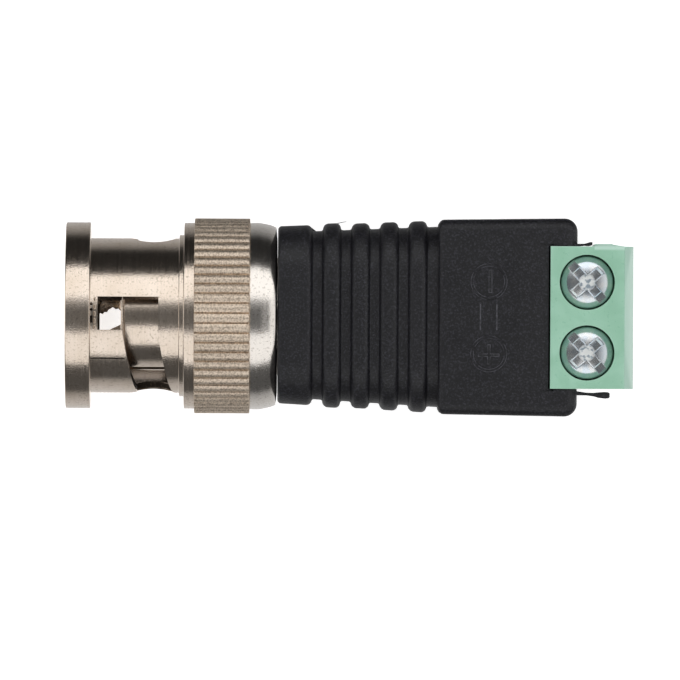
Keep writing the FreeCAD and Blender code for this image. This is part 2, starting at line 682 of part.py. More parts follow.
def terminal_block():
    """Two-pole moulding with a screw hole, a cage chamber and a wire entry for each pole."""
    body = new_body("terminal_block")
    side = new_sketch(body, "block_side", "XZ_Plane")
    front = f"{BLOCK_REAR} + block_depth"
    corners = [
        (BLOCK_REAR, BLOCK_BOTTOM),
        (front, BLOCK_BOTTOM),
        (front, f"{BLOCK_TOP} - block_slope_height"),
        (f"{BLOCK_REAR} + block_top_depth", BLOCK_TOP),
        (BLOCK_REAR, BLOCK_TOP),
    ]
    blank = extrude(body, "Pad", outline(side, corners), "block_width", both_ways=True)
    tongue = new_sketch(body, "tongue_outline", "XY_Plane", raised=BLOCK_BOTTOM)
    middle = f"{BLOCK_REAR} + tongue_setback"
    face = "block_width / 2"
    foot, crest = "(tongue_width / 2 - tongue_height / 2)", "(tongue_width / 2)"
    dovetail = [
        (f"{middle} - {foot}", face),
        (f"{middle} + {foot}", face),
        (f"{middle} + {crest}", f"{face} + tongue_height"),
        (f"{middle} - {crest}", f"{face} + tongue_height"),
    ]
    rise = f"{BLOCK_TOP} - {BLOCK_BOTTOM} - tongue_drop"
    joined = extrude(body, "Pad", outline(tongue, dovetail), rise)
    groove = new_sketch(body, "tongue_groove", "XY_Plane", raised=BLOCK_BOTTOM)
    slack = "fit_clearance / 2"
    socket = [
        (f"{middle} - {foot} - {slack}", f"-{face}"),
        (f"{middle} + {foot} + {slack}", f"-{face}"),
        (f"{middle} + {crest} + {slack}", f"-{face} + tongue_height + {slack}"),
        (f"{middle} - {crest} - {slack}", f"-{face} + tongue_height + {slack}"),
    ]
    grooved = extrude(body, "Pocket", outline(groove, socket), rise)

    holes = new_sketch(body, "screw_holes", "XY_Plane", raised=BLOCK_TOP)
    chambers = new_sketch(body, "chambers", "XY_Plane", raised=BLOCK_BOTTOM)
    entries = new_sketch(body, "wire_entries", "YZ_Plane", raised=front)
    mouths = new_sketch(body, "wire_mouths", "YZ_Plane", raised=front)
    room = "(cage_width / 2 + fit_clearance)"
    half = "(wire_entry_width / 2)"
    lead = "wire_entry_bevel"
    for centre in ("-pole_pitch / 2", "pole_pitch / 2"):
        circle(holes, SCREW_X, centre, "screw_hole_diameter / 2")
        low = (f"{SCREW_X} + {BAR_BACK}", f"{centre} - {room}")
        high = (f"{SCREW_X} + {CHAMBER_FRONT}", f"{centre} + {room}")
        box_outline(chambers, low, high)
        box_outline(entries, (f"{centre} - {half}", CAGE_DECK), (f"{centre} + {half}", BAR_BOTTOM))
        low = (f"{centre} - {half} - {lead}", f"{CAGE_DECK} - {lead}")
        high = (f"{centre} + {half} + {lead}", f"{BAR_BOTTOM} + {lead}")
        box_outline(mouths, low, high)
    bored = extrude(body, "Pocket", holes, f"{BLOCK_TOP} - {CHAMBER_TOP}", along_normal=False)
    emptied = extrude(body, "Pocket", chambers, f"{CHAMBER_TOP} - {BLOCK_BOTTOM}")
    wall = f"block_depth - block_top_depth / 2 - {CHAMBER_FRONT}"
    opened = extrude(body, "Pocket", entries, wall, along_normal=False)
    funnelled = extrude(body, "Pocket", mouths, lead, along_normal=False)
    return body, [blank, joined, grooved, bored, emptied, opened, funnelled]


def stepped_path(sketch, first, near_bend, far_bend, last, shift):
    """Three straight runs: along X, across to a shifted line, and along X again."""
    stops = [(first, "0"), (near_bend, "0"), (far_bend, shift), (last, shift)]
    spots = [V(worth(place), worth(height), 0) for place, height in stops]
    for n in range(3):
        sketch.addGeometry(Part.LineSegment(spots[n], spots[n + 1]), False)
    for n in range(2):
        sketch.addConstraint(Sketcher.Constraint("Coincident", n, 2, n + 1, 1))
    for n, (place, height) in enumerate(stops):
        item, point = (n, 1) if n < 3 else (2, 2)
        dimension(sketch, "DistanceX", item, point, place)
        dimension(sketch, "DistanceY", item, point, height)
    return sketch


def inner_wire(label, start, end, bare, inner, outer):
    """A wire or its sleeve inside the moulding, on a stepped path in a plane of its own.

    The path leaves its start along X and reaches its end along X, so both lie in one plane
    through the start, and the body is turned about X to put its XY plane there.
    """
    body = new_body(label)
    (start_x, start_y, start_z), (end_x, end_y, end_z) = start, end
    across, rise = f"({end_y} - ({start_y}))", f"({end_z} - ({start_z}))"
    body.Placement = FreeCAD.Placement(V(0, 0, 0), FreeCAD.Rotation(V(1, 0, 0), 1))
    bind(body, Placement__Rotation__Angle=f"atan2({rise}; {across})")
    bind(body, Placement__Base__y=start_y, Placement__Base__z=start_z)
    shift = f"hypot({rise}; {across})"
    first, last = f"({start_x} + {bare})", f"({end_x} - {bare})"
    straight = "(bare_length + insulation_diameter * 1.5)"
    near_bend, far_bend = f"({start_x} + {straight})", f"({end_x} - {straight})"
    path = new_sketch(body, f"{label}_path", "XY_Plane")
    stepped_path(path, first, near_bend, far_bend, last, shift)
    section = new_sketch(body, f"{label}_section", "YZ_Plane", raised=first)
    circle(section, "0", "0", outer)
    if inner:
        circle(section, "0", "0", inner)
    swept = body.newObject("PartDesign::AdditivePipe", f"{label}_swept")
    swept.Profile = section
    swept.Spine = (path, ["Edge1", "Edge2", "Edge3"])
    swept.Transition = "Right corner"
    return body


def housing_blank():
    """Soft black moulding: a ribbed boot that widens to the box that carries the block."""
    body = new_body("housing_blank")
    grooves = int(round(worth("boot_groove_count")))
    ribs = "(boot_groove_count - 1)"
    room = f"(boot_length - boot_collar_length - {ribs} * boot_rib_length)"
    width = f"({room} / boot_groove_count)"
    crests = []
    for n in range(grooves):
        crest_length = "boot_rib_length" if n else "boot_collar_length"
        place = f"(boot_collar_length + {n} * ({width} + boot_rib_length))"
        for drop, start, length in (
            ("0", f"({place} - {crest_length})", crest_length),
            ("boot_groove_depth", place, width),
        ):
            narrowing = f"boot_taper * (1 - ({start} + {length} / 2) / boot_length)"
            inset = f"(boot_step + {narrowing} + {drop})"
            halves = [f"({BOX_FRONT_HALF} - {inset})", f"({BOX_TOP} - {inset})"]
            kind = "floor" if drop != "0" else "crest"
            ring = new_sketch(body, f"boot_{kind}_{n + 1}", "YZ_Plane", raised=f"{BOOT_FRONT} + {start}")
            rounded_box(ring, *halves, f"(boot_corner_radius - {drop})")
            boot = extrude(body, "Pad", ring, length)
            if drop == "0":
                sides = [worth(half) for half in halves]
                crests.append((worth(f"{BOOT_FRONT} + {start}"), worth(length), sides))

    reach = worth("boot_corner_radius")

    def crest_rim(edge):
        box = edge.BoundBox
        middle = edge.valueAt((edge.FirstParameter + edge.LastParameter) / 2)
        for start, length, sides in crests:
            if any(near(box.XMin, rim) and near(box.XMax, rim) for rim in (start, start + length)):
                spots = zip((middle.y, middle.z), sides)
                past = [max(abs(spot) - side + reach, 0) for spot, side in spots]
                return near(math.hypot(*past), reach)
        return False

    ribbed = dress(body, "Chamfer", boot, edges_where(boot, crest_rim), "boot_edge_bevel")

    plan = new_sketch(body, "box_plan", "XY_Plane")
    corners = [
        (BOX_FRONT, f"-{BOX_FRONT_HALF}"),
        (BOX_REAR, f"-{BOX_REAR_HALF}"),
        (BOX_REAR, BOX_REAR_HALF),
        (BOX_FRONT, BOX_FRONT_HALF),
    ]
    box = extrude(body, "Pad", outline(plan, corners), BOX_HEIGHT, both_ways=True)
    end, start, top = worth(BOX_REAR), worth(BOX_FRONT), worth(BOX_TOP)
    posts = edges_where(box, lambda edge: upright(edge) and near(edge.CenterOfMass.x, end))
    cornered = dress(body, "Fillet", box, posts, "box_corner_radius")

    def rim(edge):
        level = level_at(edge, top) or level_at(edge, -top)
        return level and edge.CenterOfMass.x > start + worth("box_edge_radius") / 2

    softened = dress(body, "Fillet", cornered, edges_where(cornered, rim), "box_edge_radius")
    inside = "(boot_step + boot_groove_depth / 2)"
    limits = (worth(f"{BOX_FRONT_HALF} - {inside}"), worth(f"{BOX_TOP} - {inside}"))

    def shoulder(edge):
        box = edge.BoundBox
        if not (near(box.XMin, start) and near(box.XMax, start)):
            return False
        middle = edge.valueAt((edge.FirstParameter + edge.LastParameter) / 2)
        return abs(middle.y) > limits[0] or abs(middle.z) > limits[1]

    rim_edges = edges_where(softened, shoulder)
    shouldered = dress(body, "Chamfer", softened, rim_edges, "box_shoulder_bevel")

    seat = new_sketch(body, "block_seat", "XY_Plane", raised=BLOCK_BOTTOM)
    past = f"{BOX_REAR} + box_corner_radius"
    box_outline(seat, (f"{BLOCK_REAR} - seat_gap", "-block_width / 2"), (past, "block_width / 2"))
    seated = extrude(body, "Pocket", seat, BOX_HEIGHT)
    return body, [boot, ribbed, box, softened, shouldered, seated]


def solder_drop(label, x, y, z):
    """Solder round the end of a wire, still whole: a cone that widens towards its end."""
    drop = doc.addObject("Part::Cone", label)
    drop.Placement = FreeCAD.Placement(V(0, 0, 0), FreeCAD.Rotation(V(0, 1, 0), 90))
    bind(drop, Radius1="conductor_diameter * 0.6", Radius2="solder_drop_diameter / 2")
    bind(drop, Height="solder_drop_length")
    bind(drop, Placement__Base__x=f"{x} - solder_drop_length")
    bind(drop, Placement__Base__y=y, Placement__Base__z=z)
    return drop


def joined(label, pieces):
    """One tool out of several pieces."""
    group = doc.addObject("Part::MultiFuse", label)
    group.Shapes = pieces
    return group


def less(label, base, tool):
    """The base with the tool cut out of it."""
    made = doc.addObject("Part::Cut", label)
    made.Base, made.Tool = base, tool
    made.Label = label
    return made


plug, plug_steps = plug_body()
pin = centre_pin()
filler = insulator()
seal = gasket()
washer = retaining_washer()
spring, spring_steps = spring_washer()
nut, nut_steps = coupling_nut()
block, block_steps = terminal_block()

# The two poles: the signal pole is on the -Y side, the ground pole on the +Y side.
poles = {}
pole_steps = []
for pole, side in (("signal", "-1"), ("ground", "1")):
    bar = contact_bar(f"contact_bar_{pole}")
    cage, cage_steps = clamp_cage(f"clamp_cage_{pole}")
    screw, screw_steps = clamp_screw(f"clamp_screw_{pole}")
    for piece in (bar, cage, screw):
        bind(piece, Placement__Base__x=SCREW_X, Placement__Base__y=f"{side} * pole_pitch / 2")
    poles[pole] = (bar, cage, screw)
    pole_steps += [cage_steps, screw_steps]

# Inner wires, from the pin's cup and the body's lug to the two solder pins.
pin_face = f"({SCREW_X} + {BAR_BACK})"
lug_top = f"(-{NECK_RADIUS} + lug_thickness + solder_film + conductor_diameter / 2)"
lug_start = f"{SPIGOT_END} + bare_length / 4"
runs = {
    "signal": ((f"({PIN_REAR} - bare_length)", "0", "0"), (pin_face, "(-pole_pitch / 2)", WIRE_HEIGHT)),
    "ground": ((f"({lug_start})", "0", lug_top), (pin_face, "(pole_pitch / 2)", WIRE_HEIGHT)),
}
wires = []
for pole, (start, end) in runs.items():
    core = "conductor_diameter / 2"
    wires.append(inner_wire(f"conductor_{pole}", start, end, "0", None, core))
    sleeve = "insulation_diameter / 2"
    wires.append(inner_wire(f"insulation_{pole}", start, end, "bare_length", core, sleeve))

# Solder: a drop on the lug and a drop on each pin. The signal wire's other end fills its cup.
drops = [
    solder_drop("lug_drop", f"{lug_start} + solder_drop_length", "0", lug_top),
    solder_drop("signal_drop", pin_face, "-pole_pitch / 2", WIRE_HEIGHT),
    solder_drop("ground_drop", pin_face, "pole_pitch / 2", WIRE_HEIGHT),
]
metal = [plug, pin, poles["signal"][0], poles["ground"][0]] + wires
solder_tool = joined("solder_tool", metal)
solder = less("solder_joints", joined("solder_drops", drops), solder_tool)

# The moulding fills all the room round what it was moulded over.
blank, blank_steps = housing_blank()
inserts = joined("inserts", metal + [filler, solder])
housing = less("housing", blank, inserts)

doc.recompute()

NODES = [plug, pin, filler, seal, washer, spring, nut, block, housing, solder] + wires
NODES += [piece for group in poles.values() for piece in group]

for item in doc.Objects:
    if any(word in item.State for word in ("Invalid", "Error")):
        raise RuntimeError(f"{item.Label} failed: {item.State}")
for node in NODES:
    if node.Shape.isNull() or not node.Shape.isValid():
        raise RuntimeError(f"{node.Label} has no valid shape")

# Each cut has to take some of the solid away.
for steps in [plug_steps, spring_steps, nut_steps, block_steps, blank_steps] + pole_steps:
    for before, after in zip(steps, steps[1:]):
        if near(before.Shape.Volume, after.Shape.Volume, 1e-6):
            raise RuntimeError(f"{after.Name} changed nothing")

os.makedirs("parts", exist_ok=True)
for node in NODES:
    node.Shape.exportStep(f"parts/{node.Label}.step")
    print(f"{node.Label}: {len(node.Shape.Solids)} solid, {node.Shape.Volume:.2f} mm3")
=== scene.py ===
# %% [markdown]
# Bayonet coax plug with a screw terminal, dressed for rendering.
# The CAD model gives every size and place. This lesson loads it, sets up a small product studio,
# and then models each visible piece again, or gives the CAD piece a finish.
# Lengths are written in millimetres and turned to metres by MM, because Blender works in metres.

# %% Load the frame
import math

import bmesh
import bpy
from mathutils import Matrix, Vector


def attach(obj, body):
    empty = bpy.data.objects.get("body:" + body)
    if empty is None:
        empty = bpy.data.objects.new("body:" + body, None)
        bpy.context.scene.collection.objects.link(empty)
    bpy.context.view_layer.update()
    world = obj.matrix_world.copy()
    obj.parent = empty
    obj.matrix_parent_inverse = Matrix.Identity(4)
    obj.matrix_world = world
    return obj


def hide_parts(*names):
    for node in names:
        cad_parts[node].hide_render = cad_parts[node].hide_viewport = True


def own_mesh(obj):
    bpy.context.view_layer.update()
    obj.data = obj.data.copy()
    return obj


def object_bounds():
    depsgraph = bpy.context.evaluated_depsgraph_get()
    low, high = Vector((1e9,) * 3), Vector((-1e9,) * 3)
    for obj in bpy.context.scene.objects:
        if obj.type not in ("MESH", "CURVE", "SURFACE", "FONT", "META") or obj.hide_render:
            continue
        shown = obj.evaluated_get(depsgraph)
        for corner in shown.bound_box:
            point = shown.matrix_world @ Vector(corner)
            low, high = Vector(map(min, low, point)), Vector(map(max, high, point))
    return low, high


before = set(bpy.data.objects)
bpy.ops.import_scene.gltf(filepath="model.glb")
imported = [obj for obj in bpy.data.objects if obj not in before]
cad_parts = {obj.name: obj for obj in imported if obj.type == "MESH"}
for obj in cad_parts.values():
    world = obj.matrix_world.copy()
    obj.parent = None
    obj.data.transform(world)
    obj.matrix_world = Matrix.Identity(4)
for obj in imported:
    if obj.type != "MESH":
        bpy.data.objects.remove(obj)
cad_box = [list(corner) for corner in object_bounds()]
MM = 0.001
print("CAD box in mm", [[round(v / MM, 2) for v in corner] for corner in cad_box])


def at(x, y, z):
    """A point given in millimetres."""
    return Vector((x, y, z)) * MM


# %% [markdown]
# The photograph looks straight down on the adapter from far away with a long lens, so nothing
# converges. 13.9 pixels of the photo are one millimetre, so 680 pixels are 48.9 mm, and a camera
# 1.14 m away with a 36 mm sensor needs an 840 mm lens for that. The adapter lies a third of a
# degree askew in the photo, which the camera's own turn gives.

# %% Camera
bpy.ops.object.camera_add(location=at(15.83, -1.7, 1148.0), rotation=(0, 0, math.radians(0.3)))
camera = bpy.context.object
camera.name = "camera_above"
camera.data.lens = 840
camera.data.sensor_width = 36
camera.data.clip_start = 0.01
camera.data.clip_end = 20
bpy.context.scene.camera = camera
bpy.context.scene.view_settings.view_transform = "Standard"


# %% [markdown]
# A few small functions serve every material. The first turns a colour as people write it, a hex
# value in sRGB, into the linear numbers that Blender's shaders expect. Another adds one node, sets
# it and links it, so that a node tree reads like a list. Inputs that share a name go by number: a
# Mix node has its factor at 0, its two values at 2 and 3, and its two colours at 6 and 7.

# %% Colour and node helpers
def linear(code):
    """Linear RGBA of an sRGB hex colour such as #93C0A8."""
    parts = [int(code[n:n + 2], 16) / 255 for n in (1, 3, 5)]
    return [p / 12.92 if p < 0.04045 else ((p + 0.055) / 1.055) ** 2.4 for p in parts] + [1.0]


def join(node, links):
    """Joins outputs to a node's inputs; a node that is given lends its first output in use."""
    for key, source in links.items():
        if isinstance(source, bpy.types.Node):
            source = next(output for output in source.outputs if output.enabled)
        node.id_data.links.new(source, node.inputs[key])


def add_node(tree, kind, settings=None, links=None):
    """Adds a node; settings are inputs or properties by name, links lead to its inputs."""
    made = tree.nodes.new("ShaderNode" + kind)
    for key, value in (settings or {}).items():
        if isinstance(key, int) or key in made.inputs:
            made.inputs[key].default_value = value
        else:
            setattr(made, key, value)
    join(made, links or {})
    return made


def seen_rays(tree):
    """One for camera, glossy and transmitted rays, and zero for rays that only gather light."""
    path = add_node(tree, "LightPath").outputs
    shine = add_node(tree, "Math", {"operation": "MAXIMUM"},
                     {0: path["Is Glossy Ray"], 1: path["Is Transmission Ray"]})
    return add_node(tree, "Math", {"operation": "MAXIMUM"}, {0: path["Is Camera Ray"], 1: shine})


def start_material(name, colour, **sockets):
    """A material with its shader's plain values set; also its tree, shader and coordinates."""
    made = bpy.data.materials.new(name)
    made.use_nodes = True
    tree = made.node_tree
    shader = tree.nodes["Principled BSDF"]
    shader.inputs["Base Color"].default_value = linear(colour)
    for key, value in sockets.items():
        shader.inputs[key.replace("_", " ")].default_value = value
    place = add_node(tree, "TexCoord").outputs["Object"]
    return made, tree, shader, place


# Noise seldom leaves 0.3 to 0.7, so a Map Range node often stretches that span.
SPAN = {"From Min": 0.3, "From Max": 0.7}


# %% [markdown]
# A shiny turned part looks like whatever stands round it. The bands on the nut tell where the
# lamps stood: light comes back from 22 to 62 degrees off the camera's axis on both sides, and
# between and below the lamps the nut is dark. So the studio is two long softboxes beside the
# camera's axis, a grey card round the lens, and a black card below each softbox, as a product
# photographer would hang them. The cards show in reflections only and take no light away.

# %% Floor
FLOOR = cad_box[0][2] / MM


def floor_material():
    """White paper sweep: lit paper, plus a glow that keeps it white to the camera and in metal."""
    made = bpy.data.materials.new("white_paper")
    made.use_nodes = True
    tree = made.node_tree
    tree.nodes.clear()
    power = add_node(tree, "Math", {"operation": "MULTIPLY", 1: 0.62}, {0: seen_rays(tree)})
    glow = add_node(tree, "Emission", {"Color": linear("#FFFFFF")}, {"Strength": power})
    paper = add_node(tree, "BsdfDiffuse", {"Color": linear("#E8E8E8")})
    both = add_node(tree, "AddShader", None, {0: glow, 1: paper})
    add_node(tree, "OutputMaterial", None, {"Surface": both})
    return made


bpy.ops.mesh.primitive_plane_add(size=6.0, location=at(16, 0, FLOOR))
floor = bpy.context.object
floor.name = "paper_floor"
floor.data.materials.append(floor_material())

# %% World
world = bpy.data.worlds.new("studio_air")
bpy.context.scene.world = world
world.use_nodes = True
air = world.node_tree
air.nodes.clear()
seen = seen_rays(air)
fill = add_node(air, "Background", {"Color": linear("#FFFFFF"), "Strength": 0.48})
backdrop = add_node(air, "Background", {"Color": linear("#FFFFFF"), "Strength": 1.0})
sky = add_node(air, "MixShader", None, {0: seen, 1: fill, 2: backdrop})
add_node(air, "OutputWorld", None, {"Surface": sky})


# %% Softboxes and cards
MIDDLE = 0.016  # the adapter's middle along X, in metres
REACH, HALF_WIDTH, LENGTH = 0.30, 0.109, 0.7  # a softbox's distance and size, in metres


def softbox(name, angle, radiance):
    """A long area lamp, 40 degrees wide as the object sees it, at an angle off the camera."""
    turn = math.radians(angle)
    bpy.ops.object.light_add(type="AREA", rotation=(-turn, 0, 0),
                             location=(MIDDLE, REACH * math.sin(turn), REACH * math.cos(turn)))
    lamp = bpy.context.object
    lamp.name = name
    lamp.data.shape = "RECTANGLE"
    lamp.data.size = LENGTH
    lamp.data.size_y = 2 * HALF_WIDTH
    lamp.data.energy = radiance * math.pi * LENGTH * 2 * HALF_WIDTH
    return lamp


def card(name, near, far, shade, left=-0.4, right=0.4):
    """A flat card along X between two points of the Y-Z plane, seen in reflections only."""
    bpy.ops.mesh.primitive_plane_add(size=1.0)
    made = bpy.context.object
    made.name = name
    corners = [(left, near), (right, near), (left, far), (right, far)]
    for vertex, (x, (y, z)) in zip(made.data.vertices, corners):
        vertex.co = (MIDDLE + x, y, z)
    paint = bpy.data.materials.new(name + "_paint")
    paint.use_nodes = True
    paint.node_tree.nodes.clear()
    tone = add_node(paint.node_tree, "Emission", {"Strength": shade})
    add_node(paint.node_tree, "OutputMaterial", None, {"Surface": tone})
    made.data.materials.append(paint)
    made.visible_camera = made.visible_diffuse = made.visible_shadow = False
    return made


def black_back(name, angle):
    """A black card right behind a softbox, where the white air would shine through."""
    turn = math.radians(angle)
    middle = Vector((math.sin(turn), math.cos(turn))) * (REACH + 0.003)
    along = Vector((math.cos(turn), -math.sin(turn))) * HALF_WIDTH
    return card(name, middle - along, middle + along, 0.0)


softbox("softbox_far", 42, 1.34)
softbox("softbox_near", -42, 1.14)
black_back("black_back_far", 42)
black_back("black_back_near", -42)
card("black_card_far", (0.035, FLOOR * MM), (0.285, 0.148), 0.02)
card("black_card_near", (-0.035, FLOOR * MM), (-0.285, 0.148), 0.085)


# %% [markdown]
# Some cards fade. The card round the lens is darkest in the middle, where the lens itself is. The
# strips on the table go from pale close to the adapter to dark farther out, because that is what
# the lower flanks of the nut reflect in the photo. A Map Range node on one of the card's own
# coordinates gives each fade.

# %% Fading cards
def fading_card(name, near, far, start, end, power=1.0, axis="Y", **ends):
    """A card whose glow goes from one strength to another: start and end are (place, glow)."""
    made = card(name, near, far, 1.0, **ends)
    tree = made.data.materials[0].node_tree
    tone = tree.nodes["Emission"]
    spot = add_node(tree, "TexCoord").outputs["Object"]
    depth = add_node(tree, "SeparateXYZ", None, {0: spot}).outputs[axis]
    share = add_node(tree, "MapRange", {"From Min": start[0], "From Max": end[0]},
                     {"Value": depth})
    bent = add_node(tree, "Math", {"operation": "POWER", 1: power}, {0: share})
    glow = add_node(tree, "MapRange", {"To Min": start[1], "To Max": end[1]}, {"Value": bent})
    join(tone, {"Strength": glow})
    return made


# The plug's sloping tail is bright past its left edge: the white room shows again beyond the lens.
fading_card("room_card", (-0.112, 0.294), (0.112, 0.294), (0.12, 0.15), (0.215, 0.96), axis="X",
            left=0.104, right=0.4)
TABLE = FLOOR * MM + 0.00005
fading_card("lens_card_far", (0.0, 0.297), (0.118, 0.297), (0.03, 0.125), (0.13, 0.9), 2.0)
fading_card("lens_card_near", (-0.13, 0.297), (0.0, 0.297), (-0.06, 0.135), (-0.15, 0.9), 2.0)
fading_card("table_card_far", (0.0073, TABLE), (0.035, TABLE), (0.005, 0.6), (0.028, 0.04))
fading_card("table_card_near", (-0.035, TABLE), (-0.0073, TABLE), (-0.005, 0.74), (-0.042, 0.12))


# %% [markdown]
# The modelling helpers come next. An operator works on whatever is selected, and loading leaves
# the CAD nodes selected, so each helper first selects what it needs and nothing else.

# %% Modes and selections
def edit_mode():
    """Opens the active piece for editing."""
    bpy.ops.object.mode_set(mode="EDIT")


def object_mode():
    """Closes the piece again."""
    bpy.ops.object.mode_set(mode="OBJECT")


def select_none():
    """Deselects every object."""
    bpy.ops.object.select_all(action="DESELECT")


def settle():
    """Writes the selected objects' place, turn and size into their meshes."""
    bpy.ops.object.transform_apply(location=True, rotation=True, scale=True)


def whole_mesh():
    """In edit mode, selects the whole mesh."""
    bpy.ops.mesh.select_all(action="SELECT")


def weld():
    """In edit mode, merges the vertices that lie on one another."""
    whole_mesh()
    bpy.ops.mesh.remove_doubles(threshold=1e-7)


def face_outwards():
    """In edit mode, turns the faces of the whole mesh outwards."""
    whole_mesh()
    bpy.ops.mesh.normals_make_consistent(inside=False)


def round_edges(width, segments, **settings):
    """In edit mode, bevels the edges that are selected."""
    bpy.ops.mesh.bevel(affect="EDGES", offset=width * MM, segments=segments, **settings)


def only(obj):
    """Selects this object alone and makes it active."""
    if bpy.context.mode != "OBJECT":
        object_mode()
    select_none()
    obj.select_set(True)
    bpy.context.view_layer.objects.active = obj
    return obj


def pick(kind, test):
    """In edit mode, selects the vertices, edges or faces that pass a test, and counts them."""
    bpy.ops.mesh.select_mode(type=kind)
    bpy.ops.mesh.select_all(action="DESELECT")
    mesh = bmesh.from_edit_mesh(bpy.context.object.data)
    rows = {"VERT": mesh.verts, "EDGE": mesh.edges, "FACE": mesh.faces}[kind]
    chosen = [row for row in rows if test(row)]
    for row in chosen:
        row.select_set(True)
    mesh.select_flush_mode()
    bmesh.update_edit_mesh(bpy.context.object.data)
    return len(chosen)


def close(first, second):
    """True if two lengths in millimetres are the same to a thousandth."""
    return abs(first - second) < 0.001


def named(obj, name):
    """Names a piece and its mesh."""
    obj.name = obj.data.name = name
    return obj


def modify(obj, kind, **settings):
    """Adds a modifier, sets it and applies it."""
    only(obj)
    modifier = obj.modifiers.new(kind.lower(), kind)
    for key, value in settings.items():
        setattr(modifier, key, value)
    bpy.ops.object.modifier_apply(modifier=modifier.name)
    return obj


def ease(obj, width, segments=2, degrees=30):
    """Bevels every edge that is steeper than an angle."""
    return modify(obj, "BEVEL", width=width * MM, segments=segments, limit_method="ANGLE",
                  angle_limit=math.radians(degrees))


def cut(obj, tool, way="DIFFERENCE"):
    """Takes a tool's shape out of a piece, or joins it on, and throws the tool away."""
    modify(obj, "BOOLEAN", operation=way, object=tool, solver="EXACT")
    bpy.data.objects.remove(tool)
    return obj


def block_tool(low, high):
    """A plain block between two corners in millimetres, to cut with or to shape further."""
    middle = [(a + b) / 2 for a, b in zip(low, high)]
    size = [(b - a) * MM for a, b in zip(low, high)]
    select_none()
    bpy.ops.mesh.primitive_cube_add(size=1.0, location=at(*middle), scale=size)
    settle()
    return bpy.context.object


def rod_tool(centre, radius, length, axis, steps=96):
    """A round rod centred on a point, along X, Y or Z."""
    turn = {"X": (0, math.pi / 2, 0), "Y": (math.pi / 2, 0, 0), "Z": (0, 0, 0)}[axis]
    select_none()
    bpy.ops.mesh.primitive_cylinder_add(vertices=steps, radius=radius * MM, depth=length * MM,
                                        location=at(*centre), rotation=turn)
    settle()
    return bpy.context.object


def extrude(step):
    """In edit mode, extrudes what is selected by a step in metres."""
    bpy.ops.mesh.extrude_region_move(TRANSFORM_OT_translate={"value": step})


def taper(tool, facing, scale, centre=(0, 0, 0)):
    """Scales the face of a new tool that points one way, about a centre in metres."""
    edit_mode()
    pick("FACE", lambda f: f.normal.dot(Vector(facing)) > 0.9)
    bpy.ops.transform.resize(value=scale, center_override=centre)
    object_mode()
    return tool


def turn_about(obj, axis, degrees):
    """Turns a whole piece about an axis through the origin and settles it there."""
    only(obj)
    obj.rotation_euler["XYZ".index(axis)] = math.radians(degrees)
    settle()
    return obj


def smooth(obj, degrees=38):
    """Smooth shading, with the edges steeper than an angle left sharp."""
    only(obj)
    bpy.ops.object.shade_smooth_by_angle(angle=math.radians(degrees))
    return obj


def copy_of(obj, name):
    """A copy with a mesh of its own."""
    made = obj.copy()
    made.data = obj.data.copy()
    named(made, name)
    bpy.context.scene.collection.objects.link(made)
    return made


def hand_over(obj, body, slot, material, *nodes):
    """Gives a finished piece its material, its body, and the CAD nodes that it stands for."""
    obj.data.materials.clear()
    obj.data.materials.append(material)
    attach(obj, body)
    if nodes:
        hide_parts(*nodes)
    print(obj.name, len(obj.data.polygons), "faces")
    return obj


# %% [markdown]
# Most of the plug's metal is turned on a lathe, and Blender's spin does the same. One vertex is
# extruded along the outline, its corners are rounded by a vertex bevel, and the outline is spun
# round the axis. That gives even rings of faces, which carry clean reflections.

# %% Lathe
def turned(name, outline, axis="X", steps=192, closed=True, centre=(0, 0)):
    """Spins an outline of (place along the axis, radius, rounding) round an axis."""
    def spot(along, out):
        return at(along, 0, out) if axis == "X" else at(out, 0, along)

    select_none()
    bpy.ops.mesh.primitive_plane_add(size=MM)
    made = named(bpy.context.object, name)
    edit_mode()
    bpy.ops.mesh.select_mode(type="VERT")
    bpy.ops.mesh.merge(type="CENTER")
    stops = [spot(along, out) for along, out, rounding in outline]
    bpy.ops.transform.translate(value=stops[0])
    for before, after in zip(stops, stops[1:] + (stops[:1] if closed else [])):
        extrude(after - before)
    weld()
    for rounding in sorted({row[2] for row in outline} - {0}):
        corners = [spot(along, out) for along, out, size in outline if size == rounding]
        pick("VERT", lambda v: any((v.co - corner).length < 1e-6 for corner in corners))
        bpy.ops.mesh.bevel(affect="VERTICES", offset=rounding * MM, segments=4)
    whole_mesh()
    line = (1, 0, 0) if axis == "X" else (0, 0, 1)
    bpy.ops.mesh.spin(steps=steps, angle=2 * math.pi, center=(0, 0, 0), axis=line)
    weld()
    face_outwards()
    object_mode()
    if axis == "Z":
        made.location = at(centre[0], centre[1], 0)
        only(made)
        settle()
    return made


# %% [markdown]
# The coupling nut is brass, turned, broached, milled and knurled, then nickel plated. It is spun
# in 480 steps, eight for each of the 60 knurled ridges, so the ridges are shaped by pulling some
# of every eight lines of vertices in. The bayonet slots are cut out of the spun blank afterwards.

# %% Coupling nut: the turned blank
BARREL, KNURL = 5.6, 7.05  # radii
KNURL_START, KNURL_END = 5.3, 9.3
nut_outline = [
    (-4.0, 5.1, 0.08), (-4.0, 6.725, 0.1), (-2.2, 6.725, 0.08), (-2.2, BARREL, 0.04),
    (4.2, BARREL, 0.03), (4.2, 5.85, 0.05), (4.55, 5.85, 0.05), (4.55, 6.72, 0.06),
    (KNURL_START, 6.72, 0.0), (KNURL_START, KNURL, 0.07),
    (KNURL_END, KNURL, 0.07), (KNURL_END, 6.72, 0.0),
    (9.65, 6.76, 0.25), (10.05, 6.74, 0.14), (10.85, 6.58, 0.2), (11.19, 6.42, 0.06),
    (11.28, 5.45, 0.08), (10.7, 5.45, 0.0),
    (10.7, 6.1, 0.0), (8.0, 6.1, 0.0), (8.0, 5.1, 0.0),
]
PER_RIDGE = 8
STEPS = 60 * PER_RIDGE
